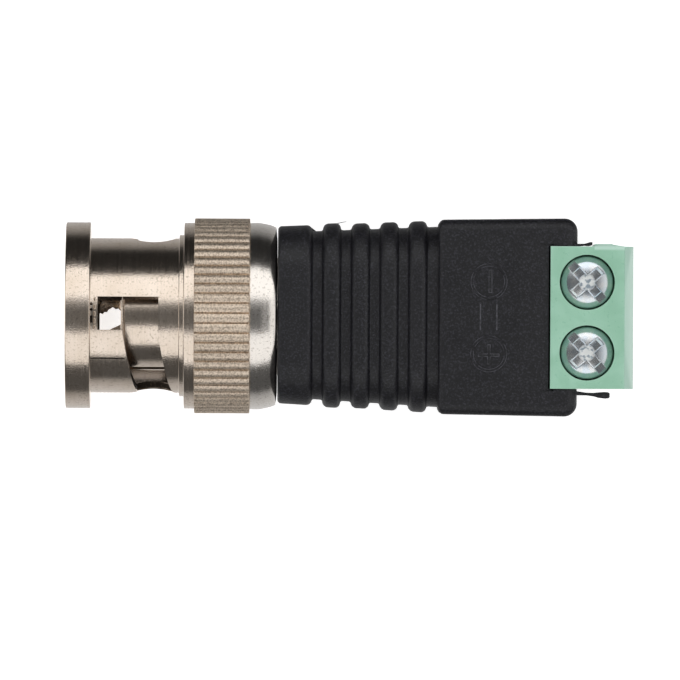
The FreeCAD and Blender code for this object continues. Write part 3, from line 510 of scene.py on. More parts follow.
nut = turned("bayonet_nut", nut_outline, steps=STEPS)
print("nut blank", len(nut.data.polygons), "faces")


# %% Coupling nut: the knurl
def ridge_line(vertex, lines):
    """True for a knurl vertex that lies on one of the given lines out of each ridge's eight."""
    x, out = vertex.co.x / MM, math.hypot(vertex.co.y, vertex.co.z) / MM
    if not (KNURL_START - 0.01 < x < KNURL_END + 0.01 and out > KNURL - 0.2):
        return False
    step = round(math.atan2(vertex.co.y, vertex.co.z) / (2 * math.pi) * STEPS)
    return step % PER_RIDGE in lines


only(nut)
edit_mode()
for lines, drop in (((0,), 0.235), ((1, 7), 0.1), ((2, 6), 0.04), ((3, 5), 0.01)):
    pick("VERT", lambda v: ridge_line(v, lines))
    squeeze = (KNURL - drop) / KNURL
    bpy.ops.transform.resize(value=(1, squeeze, squeeze), center_override=(0, 0, 0))
for line, turn in ((1, -0.22), (7, 0.22)):
    pick("VERT", lambda v: ridge_line(v, (line,)))
    bpy.ops.transform.rotate(value=math.radians(turn), orient_axis="X", center_override=(0, 0, 0))
object_mode()


# %% Coupling nut: the bayonet slots
RAMP_TRAVEL, RAMP_STEPS, RAMP_TURN = 1.475, 31, 3  # in all the slot winds 93 degrees round
LUG = 1.2  # half the lug channel's width


def ramp_tool():
    """The winding part of the slot: a square end, extruded in small turns and steps."""
    made = block_tool((-0.08, -0.01, 4.3), (2.47, 0.0, 6.4))
    edit_mode()
    pick("FACE", lambda f: f.normal.y < -0.9)
    step = RAMP_TRAVEL / RAMP_STEPS * MM
    for _ in range(RAMP_STEPS):
        extrude((step, 0, 0))
        bpy.ops.transform.rotate(value=-math.radians(RAMP_TURN), orient_axis="X",
                                 center_override=(0, 0, 0))
    face_outwards()
    object_mode()
    return made


for side in (0, 180):
    cut(nut, turn_about(block_tool((-4.5, -LUG, 4.3), (-1.65, LUG, 5.4)), "X", side))
    cut(nut, turn_about(block_tool((-1.65, -LUG, 4.0), (2.74, LUG, 7.0)), "X", side))
    cut(nut, turn_about(ramp_tool(), "X", side))
    cut(nut, turn_about(rod_tool((2.35, -5.0, -0.293), 1.65, 5.0, "Y"), "X", side))
# A fine cut runs along the barrel, and small pits line the flange beside the window.
cut(nut, turn_about(block_tool((-2.17, -0.05, 5.4), (0.3, 0.05, 6.0)), "X", 35.2))
for angle in (-6.9, -2.6, 2.8, 4.5, 6.2):
    cut(nut, turn_about(rod_tool((-2.1, 0.0, 5.42), 0.11, 0.6, "Z", steps=16), "X", angle))
# In the photo the nut stands turned by this little.
turn_about(nut, "X", -1.6)
smooth(nut)


# %% [markdown]
# The mill left torn skin, which hangs in the far window and narrows it, and a ragged ridge of
# beads beside the near one. A flap is a circle with as many corners as the flap has, moved to
# their places and extruded a little. A bead is a small block, rounded until it is a drop.

# %% Torn skin
SKIN_LEVEL, SKIN_THICK = -5.54, 0.04


def skin(name, corners):
    """A thin ragged flap from its corners, seen from above."""
    select_none()
    bpy.ops.mesh.primitive_circle_add(vertices=len(corners), fill_type="NGON", radius=MM)
    made = named(bpy.context.object, name)
    for vertex, (x, y) in zip(made.data.vertices, corners):
        vertex.co = at(x, y, SKIN_LEVEL)
    edit_mode()
    whole_mesh()
    extrude(at(0, 0, SKIN_THICK))
    face_outwards()
    object_mode()
    return smooth(ease(made, 0.02), 60)


torn = [
    skin("torn_skin_far", [(-1.72, 1.12), (0.1, 1.12), (0.1, 0.4), (-0.1, 0.3), (-0.3, 0.5),
                           (-0.48, 0.44), (-0.7, 0.6), (-0.86, 0.48), (-1.0, 0.42), (-1.12, 0.22),
                           (-1.3, 0.24), (-1.42, 0.08), (-1.6, 0.16), (-1.72, 0.05)]),
    skin("torn_skin_near", [(0.3, -1.1), (0.3, 0.16), (0.16, 0.1), (0.0, -0.18), (-0.06, -0.44),
                            (-0.1, -0.62), (-0.3, -0.74), (-0.52, -0.84), (-0.84, -0.98),
                            (-1.0, -1.1)]),
]
beads = ((0.96, 1.3), (0.42, 0.8), (-0.08, 0.3), (-0.6, -0.2), (-1.02, -0.7))
for n, (low, high) in enumerate(beads):
    rise = math.sqrt(BARREL ** 2 - max(abs(low), abs(high)) ** 2)
    ridge = named(block_tool((-1.93, low, rise - 0.08), (-1.77, high, rise + 0.09)),
                  f"torn_ridge_{n + 1}")
    torn.append(smooth(ease(ridge, 0.065, 4), 60))

# %% [markdown]
# Inside the nut sits the plug itself: a slotted contact sleeve with its collar, a plastic
# insulator, a pin and a rubber ring. They show in the nut's mouth and through its slots, so they
# are spun as well, and the sleeve gets its four springy slots from a boolean cut.

# %% Plug body, pin, insulator and rings
body = turned("contact_body", [
    (0.0, 3.35, 0.05), (0.0, 3.86, 0.03), (0.28, 4.05, 0.05), (6.9, 4.05, 0.0), (6.9, 3.8, 0.0),
    (8.0, 3.8, 0.0), (8.0, 6.0, 0.1), (8.9, 6.0, 0.1),
    (8.9, 4.3, 0.0), (17.49, 4.3, 0.1), (17.49, 2.1, 0.0), (13.99, 2.1, 0.0), (13.99, 3.35, 0.0),
])
for n in range(4):
    cut(body, turn_about(block_tool((-1.0, 2.85, -0.25), (5.0, 4.55, 0.25)), "X", 70 + 90 * n))
cut(body, block_tool((17.2, -1.5, -4.28), (19.39, 1.5, -3.1)), "UNION")
smooth(body)

pin = turned("contact_pin", [
    (0.4, 0.0, 0.0), (0.4, 0.675, 0.5), (5.5, 0.675, 0.0), (5.5, 1.1, 0.1), (19.29, 1.1, 0.1),
    (19.29, 0.3, 0.0), (17.69, 0.3, 0.0), (17.69, 0.0, 0.0),
], closed=False, steps=96)
smooth(pin)

plug_insulator = turned("pin_insulator", [
    (5.5, 1.1, 0.12), (5.5, 3.35, 0.15), (13.99, 3.35, 0.0), (13.99, 2.1, 0.0),
    (17.49, 2.1, 0.0), (17.49, 1.1, 0.0),
], steps=144)
smooth(plug_insulator)

seal = turned("sealing_ring", [
    (7.0, 3.8, 0.2), (7.0, 5.0, 0.3), (8.0, 5.0, 0.3), (8.0, 3.8, 0.2),
], steps=144)
smooth(seal)

washer = turned("thrust_washer", [
    (10.3, 4.4, 0.06), (10.3, 6.0, 0.06), (10.7, 6.0, 0.06), (10.7, 4.4, 0.06),
], steps=144)
smooth(washer)


# %% [markdown]
# The black body is one soft moulding. Its boot starts as a square plane with rounded corners,
# extruded station by station along the plug, in for each groove and out for each rib, and growing
# towards the box. Rounding the rings of edges afterwards gives the ribs their soft crests.

# %% Boot
MOUTH, FIRST_GROOVE = 11.33, 13.72
GROOVE, RIB, DEPTH = 0.916, 1.15, 0.45
BOOT_START, BOOT_RUN = 11.39, 11.51


def boot_half(x):
    """Half the boot's width at a place along the plug."""
    return 6.39 + 0.57 * (x - BOOT_START) / BOOT_RUN


def boot_lift(x):
    """How far the boot's middle stands off the plug's axis: the mould did not close square."""
    return 0.1 * (1 - (x - BOOT_START) / BOOT_RUN)


stations = [(MOUTH, 0.0), (FIRST_GROOVE, 0.0)]
for n in range(5):
    start = FIRST_GROOVE + n * (GROOVE + RIB)
    stations += [(start + 0.1, DEPTH), (start + GROOVE - 0.1, DEPTH)]
    if n < 4:
        stations += [(start + GROOVE, 0.0), (start + GROOVE + RIB, 0.0)]
stations.append((23.3, DEPTH))

select_none()
bpy.ops.mesh.primitive_plane_add(size=2 * boot_half(MOUTH) * MM, rotation=(0, math.pi / 2, 0),
                                 location=at(MOUTH, boot_lift(MOUTH), 0))
settle()
boot = named(bpy.context.object, "moulded_body")
edit_mode()
whole_mesh()
bpy.ops.mesh.bevel(affect="VERTICES", offset=3.2 * MM, segments=12)
here, half = MOUTH, boot_half(MOUTH)
bpy.ops.mesh.select_mode(type="FACE")
whole_mesh()
for x, drop in stations[1:]:
    proud = 0.07 if not drop and 14.5 < x < 16.0 else 0.0  # the first rib stands out a little
    wanted = boot_half(x) - drop + proud
    step = at(x - here, boot_lift(x) - boot_lift(here), 0)
    extrude(step)
    grow = wanted / half
    bpy.ops.transform.resize(value=(1, grow, grow), center_override=at(0, boot_lift(x), 0))
    here, half = x, wanted
face_outwards()


def ring_edge(edge, places):
    """True for an edge that runs round the boot at one of some places along it."""
    xs = [vertex.co.x / MM for vertex in edge.verts]
    return any(close(xs[0], place) and close(xs[1], place) for place in places)


crests = [x for x, drop in stations[1:] if not drop]
floors = [x for x, drop in stations[:-1] if drop]
print("boot crests", pick("EDGE", lambda e: ring_edge(e, crests)))
round_edges(0.33, 5, clamp_overlap=True)
print("boot floors", pick("EDGE", lambda e: ring_edge(e, floors)))
round_edges(0.13, 3, clamp_overlap=True)
print("boot mouth", pick("EDGE", lambda e: ring_edge(e, [MOUTH])))
round_edges(0.25, 4, clamp_overlap=True)
object_mode()

# %% [markdown]
# The box is a block with its edges rounded by bevels: wide ones on the two rear corners, and
# smaller ones along the rims and round the shoulder over the last groove. The seat of the terminal
# block is cut out of it, with the shallow sunk strip that the photo shows ahead of the seat.

# %% Box
BOX_FRONT, BOX_REAR, BOX_TOP, BOX_HALF = 22.90, 32.89, 7.05, 7.14
box = block_tool((BOX_FRONT, -BOX_HALF, -BOX_TOP), (BOX_REAR, BOX_HALF, BOX_TOP))
edit_mode()
pick("VERT", lambda v: close(v.co.x / MM, BOX_FRONT))
bpy.ops.transform.resize(value=(1, 7.0 / BOX_HALF, 1), center_override=(0, 0, 0))
pick("EDGE", lambda e: all(close(v.co.x / MM, BOX_REAR) for v in e.verts)
     and close(e.verts[0].co.y / MM, e.verts[1].co.y / MM))
round_edges(0.95, 10)
for level in (BOX_TOP, -BOX_TOP):
    pick("EDGE", lambda e: all(close(v.co.z / MM, level) for v in e.verts)
         and max(v.co.x for v in e.verts) / MM > BOX_FRONT + 0.05)
    round_edges(0.8, 7)
pick("EDGE", lambda e: all(close(v.co.x / MM, BOX_FRONT) for v in e.verts))
round_edges(0.4, 4)
object_mode()

STRIP_END = 31.2
strip = block_tool((29.95, -5.3, BOX_TOP), (STRIP_END, 5.3, 8.0))
edit_mode()
pick("VERT", lambda v: close(v.co.x / MM, STRIP_END) and close(v.co.z / MM, BOX_TOP))
bpy.ops.transform.translate(value=at(0, 0, -0.22))
object_mode()
cut(box, strip)
cut(box, block_tool((30.83, -5.15, -2.8), (35.0, 5.15, 9.0)))
cut(boot, box, "UNION")
smooth(boot)


# %% [markdown]
# The signs on the box are raised a few hundredths of a millimetre: a ring with a bar for the
# minus pole, a ring with a plus for the plus pole, and a link between them. Real ones come out of
# the mould with their edges a little soft, so each bar is a block with bevelled edges.

# %% Polarity signs
def bar_sign(name, low, high):
    """A raised bar with eased edges."""
    made = named(block_tool(low, high), name)
    edit_mode()
    pick("FACE", lambda f: f.normal.z > 0.9)
    bpy.ops.mesh.inset(thickness=0.05 * MM)
    bpy.ops.transform.translate(value=at(0, 0, 0.035))
    object_mode()
    return made


signs = []
for name, y in (("minus_ring", 2.55), ("plus_ring", -2.64)):
    ring = [(7.0, 1.04, 0.0), (7.0, 1.37, 0.0), (7.11, 1.28, 0.01), (7.11, 1.13, 0.01)]
    signs.append(turned(name, ring, axis="Z", centre=(26.53, y), steps=72))
signs += [
    bar_sign("minus_bar", (26.50, 1.75, 7.0), (26.76, 3.4, 7.08)),
    bar_sign("plus_bar_across", (26.43, -3.4, 7.0), (26.66, -1.95, 7.08)),
    bar_sign("plus_bar_along", (25.75, -2.86, 7.0), (27.3, -2.62, 7.079)),
    bar_sign("link_left", (25.86, -0.95, 7.0), (25.98, 0.95, 7.05)),
    bar_sign("link_right", (27.04, -0.95, 7.0), (27.16, 0.95, 7.05)),
]
for sign in signs:
    smooth(sign)


# %% [markdown]
# Where the black plastic was pressed round the terminal block, thin flash was left standing, and a
# few slivers hang on the boot. Each is a small block whose end is extruded from point to point and
# made thicker or thinner on the way.

# %% Flash
def sliver(name, stops, height):
    """A thin lip of flash: (x, y, z, thickness) along its middle line."""
    x, y, z, thick = stops[0]
    made = named(block_tool((x - 0.01, y - thick / 2, z - height / 2),
                            (x, y + thick / 2, z + height / 2)), name)
    edit_mode()
    pick("FACE", lambda f: f.normal.x > 0.9)
    for before, after in zip(stops, stops[1:]):
        step = at(*(b - a for a, b in zip(before[:3], after[:3])))
        extrude(step)
        grow = after[3] / before[3]
        bpy.ops.transform.resize(value=(1, grow, 1), center_override=at(*after[:3]))
    object_mode()
    return smooth(ease(made, 0.035), 50)


flash = [
    sliver("flash_minus_side", [
        (32.6, 5.22, 6.5, 0.2), (33.0, 5.22, 6.5, 0.18), (33.4, 5.24, 6.5, 0.16),
        (33.6, 5.26, 6.5, 0.24), (33.8, 5.3, 6.5, 0.28), (33.95, 5.33, 6.5, 0.22),
    ], 0.9),
    sliver("flash_plus_side", [
        (32.6, -5.42, 6.4, 0.34), (33.1, -5.46, 6.4, 0.26), (33.6, -5.5, 6.4, 0.2),
        (34.1, -5.54, 6.4, 0.26), (34.45, -5.57, 6.4, 0.4), (34.9, -5.58, 6.4, 0.48),
        (35.15, -5.58, 6.4, 0.44), (35.25, -5.58, 6.4, 0.28),
    ], 0.8),
    sliver("boot_hair", [
        (15.0, 6.42, 1.2, 0.16), (15.3, 6.62, 1.25, 0.1), (15.6, 6.72, 1.3, 0.06),
        (15.9, 6.79, 1.3, 0.05), (16.25, 6.86, 1.3, 0.03),
    ], 0.06),
    sliver("boot_skin_one", [
        (13.75, 6.3, 0.6, 0.2), (13.95, 6.2, 0.6, 0.12), (14.1, 6.1, 0.6, 0.06),
    ], 0.5),
    sliver("boot_skin_two", [
        (14.4, 6.05, 0.4, 0.06), (14.6, 6.25, 0.4, 0.1), (14.75, 6.35, 0.4, 0.14),
    ], 0.4),
]


# %% [markdown]
# The terminal block is a glossy green moulding. A block is cut by bisect to give its sloping
# front, the screw holes, the cage chambers and the wire entries are cut out, and a narrow bevel
# modifier at the end gives every edge a line of light, as moulded edges have.

# %% Terminal block
SCREW_X, POLE = 33.595, 2.54  # place of the screws' axes
TOP, END, FOOT, FLANK = 7.2, 36.92, -2.8, 5.125
block = named(block_tool((30.95, -FLANK, FOOT), (END, FLANK, TOP)), "green_block")
edit_mode()
whole_mesh()
bpy.ops.mesh.bisect(plane_co=at(36.24, 0, TOP), plane_no=(3.0, 0, 0.68), use_fill=True,
                    clear_outer=True)
object_mode()
for side in (-POLE, POLE):
    cut(block, rod_tool((SCREW_X, side, TOP), 1.985, 4.0, "Z"))
    cut(block, block_tool((31.495, side - 2.05, -3.5), (35.195, side + 2.05, 5.2)))
    cut(block, block_tool((35.0, side - 1.5, -1.9), (37.5, side + 1.5, 0.7)))
    mouth = block_tool((36.62, side - 1.5, -1.9), (36.93, side + 1.5, 0.7))
    cut(block, taper(mouth, (1, 0, 0), (1, 1.2, 3.2 / 2.6), at(36.93, side, -0.6)))
TONGUE = 5.315
tongue = block_tool((34.08, 5.0, FOOT), (35.48, TONGUE, 6.6))
edit_mode()
pick("EDGE", lambda e: all(close(v.co.y / MM, TONGUE) for v in e.verts))
round_edges(0.12, 3)
object_mode()
RUN_END, RUN_SIDE, RUN_FOOT = 36.25, 5.29, 4.6
run_out = block_tool((35.3, 5.0, RUN_FOOT), (RUN_END, RUN_SIDE, 6.55))
edit_mode()
pick("VERT", lambda v: close(v.co.x / MM, RUN_END) and close(v.co.y / MM, RUN_SIDE))
bpy.ops.transform.translate(value=at(0, -0.15, 0))
pick("VERT", lambda v: close(v.co.z / MM, RUN_FOOT) and v.co.y / MM > 5.1)
bpy.ops.transform.translate(value=at(0, -0.13, 0))
object_mode()
cut(tongue, run_out, "UNION")
cut(block, tongue, "UNION")
cut(block, block_tool((34.03, -5.4, -3.5), (35.53, -4.91, 6.6)))
smooth(ease(block, 0.08, degrees=40))


# %% [markdown]
# The clamp screws have domed heads with a slot and a cross recess that tapers to a small floor.
# One screw is modelled, with its thread as fine rings, and the second is a copy moved to the
# other pole. Both stand with their slots the same way, as in the photo.

# %% Clamp screws
PITCH, CREST, ROOT = 0.45, 1.24, 1.02
HEAD_TOP, DOME = 6.6, 5.4  # height of the head, radius of its dome


def dome(out):
    """Height of the screw head's dome at a distance from its axis."""
    return HEAD_TOP - (DOME - math.sqrt(DOME ** 2 - out ** 2))


screw_outline = [(1.23, 0.0, 0.0), (1.23, 0.85, 0.0)]
for n in range(8):
    screw_outline += [(1.45 + PITCH * n, ROOT, 0.0), (1.675 + PITCH * n, CREST, 0.0)]
screw_outline += [(5.05, ROOT, 0.0), (5.3, 1.1, 0.0), (5.3, 1.91, 0.06), (5.95, 1.91, 0.15),
                  (6.25, 1.8, 0.07)]
for out in (1.69, 1.45, 1.25, 1.05, 0.85, 0.65, 0.45, 0.22, 0.0):
    screw_outline.append((dome(out), out, 0.0))
screw = turned("clamp_screw_plus", screw_outline, axis="Z", closed=False, steps=144)


def tapered_arm(turn):
    """One arm of the cross recess: long and wide at the top, short and narrow at its floor."""
    arm = block_tool((-1.42, -0.42, 5.95), (1.42, 0.42, 6.8))
    return turn_about(taper(arm, (0, 0, -1), (0.8, 0.7, 1)), "Z", turn)


slot_cutter = taper(block_tool((-2.5, -0.4, 6.15), (2.5, 0.4, 7.0)), (0, 0, -1), (1, 0.82, 1))
cut(screw, turn_about(slot_cutter, "Z", -48))
cut(screw, tapered_arm(-48))
cut(screw, tapered_arm(42))
select_none()
bpy.ops.mesh.primitive_cone_add(vertices=48, radius1=0.0, radius2=0.56 * MM, depth=0.17 * MM,
                                location=at(0, 0, 5.935))
settle()
cut(screw, bpy.context.object)
smooth(ease(screw, 0.07, 3, 35))
second_screw = copy_of(screw, "clamp_screw_minus")
for piece, side in ((screw, -POLE), (second_screw, POLE)):
    only(piece)
    piece.location = at(SCREW_X, side, 0)
    settle()


# %% [markdown]
# The cages and contact bars hide inside the block and show only at the wire entries, and the bowed
# washer hides in the nut. The CAD shapes are right, so each gets a copy with its loose triangles
# merged and its edges eased.

# %% Cages, bars and the bowed washer
def eased_copy(node, name, width):
    """A merged copy of a CAD node with bevelled edges."""
    made = copy_of(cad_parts[node], name)
    made.parent = None
    made.matrix_world.identity()
    made.modifiers.clear()
    only(made)
    edit_mode()
    weld()
    bpy.ops.mesh.dissolve_limited(angle_limit=math.radians(2))
    object_mode()
    return smooth(ease(made, width, degrees=50))


POLES = ("signal", "ground")
cages = {pole: eased_copy(f"clamp_cage_{pole}", f"cage_{pole}", 0.06) for pole in POLES}
bars = {pole: eased_copy(f"contact_bar_{pole}", f"bar_{pole}", 0.05) for pole in POLES}
bowed = eased_copy("spring_washer", "bowed_washer", 0.03)

# %% [markdown]
# Now the finishes. The first is nickel plate on turned brass. The turning tool leaves fine rings,
# 0.16 mm apart here because the real feed of a few hundredths would be too fine to see. They come
# from noise that runs only along the part: the place along X plus the distance from the axis, so
# that flat faces get rings too. The plating adds a soft grain, and the knurl, which was rolled and
# never polished, scatters the light. Inside the nut the plating is thin and dull, and its colour
# is
# darkened as painted shade: a little on the bore, and much more on the band just outside it, the
# slot walls and the groove under the flange.

# %% Nickel plate
nickel, tree, shader, place = start_material("nickel_plate_on_turned_brass", "#D4C8BC",
                                             Metallic=1.0)
along = add_node(tree, "SeparateXYZ", None, {0: place}).outputs["X"]
across = add_node(tree, "VectorMath", {"operation": "MULTIPLY", 1: (0, 1, 1)}, {0: place})
out = add_node(tree, "VectorMath", {"operation": "LENGTH"}, {0: across})
feed = add_node(tree, "Math", {"operation": "ADD"}, {0: along, 1: out})
rings = add_node(tree, "TexNoise",
                 {"noise_dimensions": "1D", "Scale": 1 / (0.16 * MM), "Detail": 3.0,
                  "Roughness": 0.6}, {"W": feed})
grain = add_node(tree, "TexNoise", {"Scale": 1 / (0.13 * MM), "Detail": 2.0}, {"Vector": place})
stain = add_node(tree, "TexNoise", {"Scale": 1 / (1.6 * MM), "Detail": 3.0}, {"Vector": place})
on_knurl = add_node(tree, "Math", {"operation": "COMPARE", 1: 7.3 * MM, 2: 2.03 * MM}, {0: along})
outside = add_node(tree, "Math", {"operation": "GREATER_THAN", 1: 6.75 * MM}, {0: out})
knurl = add_node(tree, "Math", {"operation": "MULTIPLY"}, {0: on_knurl, 1: outside})
on_tail = add_node(tree, "Math", {"operation": "GREATER_THAN", 1: 9.32 * MM}, {0: along})
# Two bands of radius inside the nut: the slot walls and the groove under the flange, and the bore.
inside = add_node(tree, "Math", {"operation": "COMPARE", 1: 5.32 * MM, 2: 0.17 * MM}, {0: out})
painted_bore_shade = add_node(tree, "Math", {"operation": "COMPARE", 1: 5.06 * MM, 2: 0.09 * MM}, {0: out})

stained = add_node(tree, "MapRange", {"From Min": 0.35, "From Max": 0.7}, {"Value": stain})
colour = add_node(tree, "Mix", {"data_type": "RGBA", 6: linear("#E0D2C4"), 7: linear("#D6C7B7")},
                  {0: stained})
colour = add_node(tree, "Mix", {"data_type": "RGBA", 7: linear("#E3DDD6")},
                  {0: on_tail, 6: colour})
rolled = add_node(tree, "Mix", {"data_type": "RGBA", 6: linear("#BFAE9C"), 7: linear("#EDDECC")},
                  {0: add_node(tree, "MapRange", {"From Min": 0.38, "From Max": 0.56},
                               {"Value": grain})})
colour = add_node(tree, "Mix", {"data_type": "RGBA"}, {0: knurl, 6: colour, 7: rolled})
# Painted shade: the band outside the bore is darkened most, the bore itself less.
colour = add_node(tree, "Mix", {"data_type": "RGBA", 7: linear("#3C352F")}, {0: inside, 6: colour})
colour = add_node(tree, "Mix", {"data_type": "RGBA", 7: linear("#7D7268")}, {0: painted_bore_shade, 6: colour})
flecks = add_node(tree, "TexNoise", {"Scale": 1 / (0.16 * MM), "Detail": 1.0}, {"Vector": place})
fleck = add_node(tree, "MapRange",
                 {"From Min": 0.28, "From Max": 0.42, "To Min": 0.35, "To Max": 0.0},
                 {"Value": flecks})
colour = add_node(tree, "Mix", {"data_type": "RGBA", 7: linear("#8A7C6C")}, {0: fleck, 6: colour})

gloss = add_node(tree, "MapRange", {**SPAN, "To Min": 0.15, "To Max": 0.24}, {"Value": rings})
matte = add_node(tree, "MapRange", {**SPAN, "To Min": 0.46, "To Max": 0.6}, {"Value": grain})
dull = add_node(tree, "Math", {"operation": "MAXIMUM"}, {0: knurl, 1: inside})
rough = add_node(tree, "Mix", None, {0: dull, 2: gloss, 3: matte})

lathe = add_node(tree, "Bump", {"Strength": 0.7, "Distance": 0.0022 * MM}, {"Height": rings})
plating = add_node(tree, "Bump", {"Strength": 0.9, "Distance": 0.006 * MM},
                   {"Height": grain, "Normal": lathe})
join(shader, {"Base Color": colour, "Roughness": rough, "Normal": plating})
print("nickel plate has", len(tree.nodes), "nodes")


# %% [markdown]
# The black body is a moulding of soft PVC in a spark-eroded mould, whose fine craters the plastic
# copies. Each pit is about 0.15 mm across and turns the surface a few degrees this way and that,
# so the face sparkles faintly with light and dark specks, and rounded edges carry a dim streak.

# %% Black moulding
black, tree, shader, place = start_material("spark_eroded_black_pvc", "#131316",
                                            Specular_IOR_Level=0.4)
pits = add_node(tree, "TexNoise", {"Scale": 1 / (0.14 * MM), "Detail": 2.0, "Roughness": 0.6},
                {"Vector": place})
flow = add_node(tree, "TexNoise", {"Scale": 1 / (1.8 * MM), "Detail": 2.0}, {"Vector": place})
scuff = add_node(tree, "MapRange", {"From Min": 0.5, "From Max": 0.72}, {"Value": pits})
colour = add_node(tree, "Mix", {"data_type": "RGBA", 6: linear("#121216"), 7: linear("#2E2E35")},
                  {0: scuff})
height = add_node(tree, "SeparateXYZ", None, {0: place}).outputs["Z"]
raised = add_node(tree, "Math", {"operation": "COMPARE", 1: 7.084 * MM, 2: 0.024 * MM},
                  {0: height})
worn = add_node(tree, "MapRange", {"From Min": 0.36, "From Max": 0.58},
                {"Value": add_node(tree, "TexNoise", {"Scale": 1 / (0.5 * MM)},
                                   {"Vector": place})})
rubbed = add_node(tree, "Math", {"operation": "MULTIPLY"}, {0: raised, 1: worn})
colour = add_node(tree, "Mix", {"data_type": "RGBA", 7: linear("#4A4A51")}, {0: rubbed, 6: colour})
rough = add_node(tree, "MapRange", {**SPAN, "To Min": 0.4, "To Max": 0.52}, {"Value": flow})
pitted = add_node(tree, "Bump", {"Strength": 1.0, "Distance": 0.04 * MM}, {"Height": pits})
join(shader, {"Base Color": colour, "Roughness": rough, "Normal": pitted})
print("black moulding has", len(tree.nodes), "nodes")


# %% [markdown]
# The terminal block is polyamide, filled and coloured green, moulded in a smooth steel mould. It
# is slightly see-through at thin edges, so a little subsurface light is let through, and its
# colour drifts a few percent where the melt flowed in. Light that comes through the thin ribs and
# the sloping front makes them paler, and the walls of the screw wells are painted darker and
# greyer, as the shade that falls in them.

# %% Green polyamide
green, tree, shader, place = start_material("moulded_green_polyamide", "#93C0A8",
                                            Subsurface_Weight=0.12, Subsurface_Scale=0.35 * MM,
                                            Subsurface_Radius=(1.0, 1.0, 1.0))
flow = add_node(tree, "TexNoise", {"Scale": 1 / (2.4 * MM), "Detail": 2.0, "Distortion": 0.8},
                {"Vector": place})
drift = add_node(tree, "MapRange", {"From Min": 0.35, "From Max": 0.65}, {"Value": flow})
colour = add_node(tree, "Mix", {"data_type": "RGBA", 6: linear("#8DBBA2"), 7: linear("#99C5AE")},
                  {0: drift})
sideways = add_node(tree, "SeparateXYZ", None, {0: place}).outputs["Y"]
over_tongue = add_node(tree, "Math", {"operation": "COMPARE", 1: 35.3 * MM, 2: 1.2 * MM},
                       {0: add_node(tree, "SeparateXYZ", None, {0: place}).outputs["X"]})
inward = add_node(tree, "Math", {"operation": "MULTIPLY", 1: 0.22 * MM}, {0: over_tongue})
glowing = add_node(tree, "Math", {"operation": "ADD"}, {0: sideways, 1: inward})
thin = add_node(tree, "MapRange", {"From Min": 5.04 * MM, "From Max": 5.18 * MM},
                {"Value": glowing})
colour = add_node(tree, "Mix", {"data_type": "RGBA", 7: linear("#B4D3C5")}, {0: thin, 6: colour})
forward = add_node(tree, "SeparateXYZ", None, {0: place}).outputs["X"]
front = add_node(tree, "MapRange", {"From Min": 36.24 * MM, "From Max": 36.32 * MM},
                 {"Value": forward})
colour = add_node(tree, "Mix", {"data_type": "RGBA", 7: linear("#ABCDBD")}, {0: front, 6: colour})
# Painted shade: within 1.9 mm of each screw's axis the green is darkened and greyed, as in the
# shaded screw wells.
mirrored = add_node(tree, "VectorMath", {"operation": "ABSOLUTE"}, {0: place})
from_axis = add_node(tree, "VectorMath", {"operation": "SUBTRACT", 1: at(SCREW_X, POLE, 0)},
                     {0: mirrored})
level = add_node(tree, "VectorMath", {"operation": "MULTIPLY", 1: (1, 1, 0)}, {0: from_axis})
reach = add_node(tree, "VectorMath", {"operation": "LENGTH"}, {0: level})
painted_well_shade = add_node(tree, "MapRange",
                {"From Min": 1.86 * MM, "From Max": 1.94 * MM, "To Min": 1.0, "To Max": 0.0},
                {"Value": reach})
colour = add_node(tree, "Mix", {"data_type": "RGBA", 7: linear("#5F8578")}, {0: painted_well_shade, 6: colour})
waxy = add_node(tree, "TexNoise", {"Scale": 1 / (0.25 * MM), "Detail": 2.0}, {"Vector": place})
rough = add_node(tree, "MapRange", {**SPAN, "To Min": 0.26, "To Max": 0.4}, {"Value": waxy})
rough = add_node(tree, "Mix", {3: 0.13}, {0: front, 2: rough})
satin = add_node(tree, "Bump", {"Strength": 0.5, "Distance": 0.003 * MM}, {"Height": waxy})
join(shader, {"Base Color": colour, "Roughness": rough, "Normal": satin})


# %% [markdown]
# The screws are steel with blue chromated zinc: a bright, slightly bluish metal with cloudy
# patches of faint colour and fine wear. The floor of each cross recess was coined by a blunt
# punch, so it is rough, and its colour is raised to near white there as a painted highlight, with
# a few greyer marks. Both screws share the mask for it, because the absolute value of Y folds one
# pole onto the other.

# %% Blue zinc
zinc, tree, shader, place = start_material("blue_chromated_zinc", "#D5DBE0", Metallic=1.0)
cloud = add_node(tree, "TexNoise", {"Scale": 1 / (0.7 * MM), "Detail": 3.0, "Distortion": 0.6},
                 {"Vector": place})
patch = add_node(tree, "MapRange", {"From Min": 0.38, "From Max": 0.64}, {"Value": cloud})
colour = add_node(tree, "Mix", {"data_type": "RGBA", 6: linear("#DBE4EC"), 7: linear("#EDEFF0")},
                  {0: patch})
# Painted highlight: round the floor of each cross recess the colour is raised to near white, with
# greyer marks.
shift = add_node(tree, "VectorMath", {"operation": "ABSOLUTE"}, {0: place})
spot = add_node(tree, "VectorMath", {"operation": "SUBTRACT", 1: at(SCREW_X, POLE, 6.0)},
                {0: shift})
away = add_node(tree, "VectorMath", {"operation": "LENGTH"}, {0: spot})
recess_floor_painted_highlight = add_node(tree, "MapRange",
                  {"From Min": 0.5 * MM, "From Max": 0.64 * MM, "To Min": 1.0, "To Max": 0.0},
                  {"Value": away})
bitten = add_node(tree, "TexNoise", {"Scale": 1 / (0.3 * MM), "Detail": 1.0}, {"Vector": place})
highlight_patches = add_node(tree, "MapRange", {"From Min": 0.34, "From Max": 0.5}, {"Value": bitten})
painted_floor_highlight = add_node(tree, "Mix", {"data_type": "RGBA", 6: linear("#B4BEC8"), 7: linear("#FFFFFF")},
                  {0: highlight_patches})
colour = add_node(tree, "Mix", {"data_type": "RGBA"}, {0: recess_floor_painted_highlight, 6: colour, 7: painted_floor_highlight})
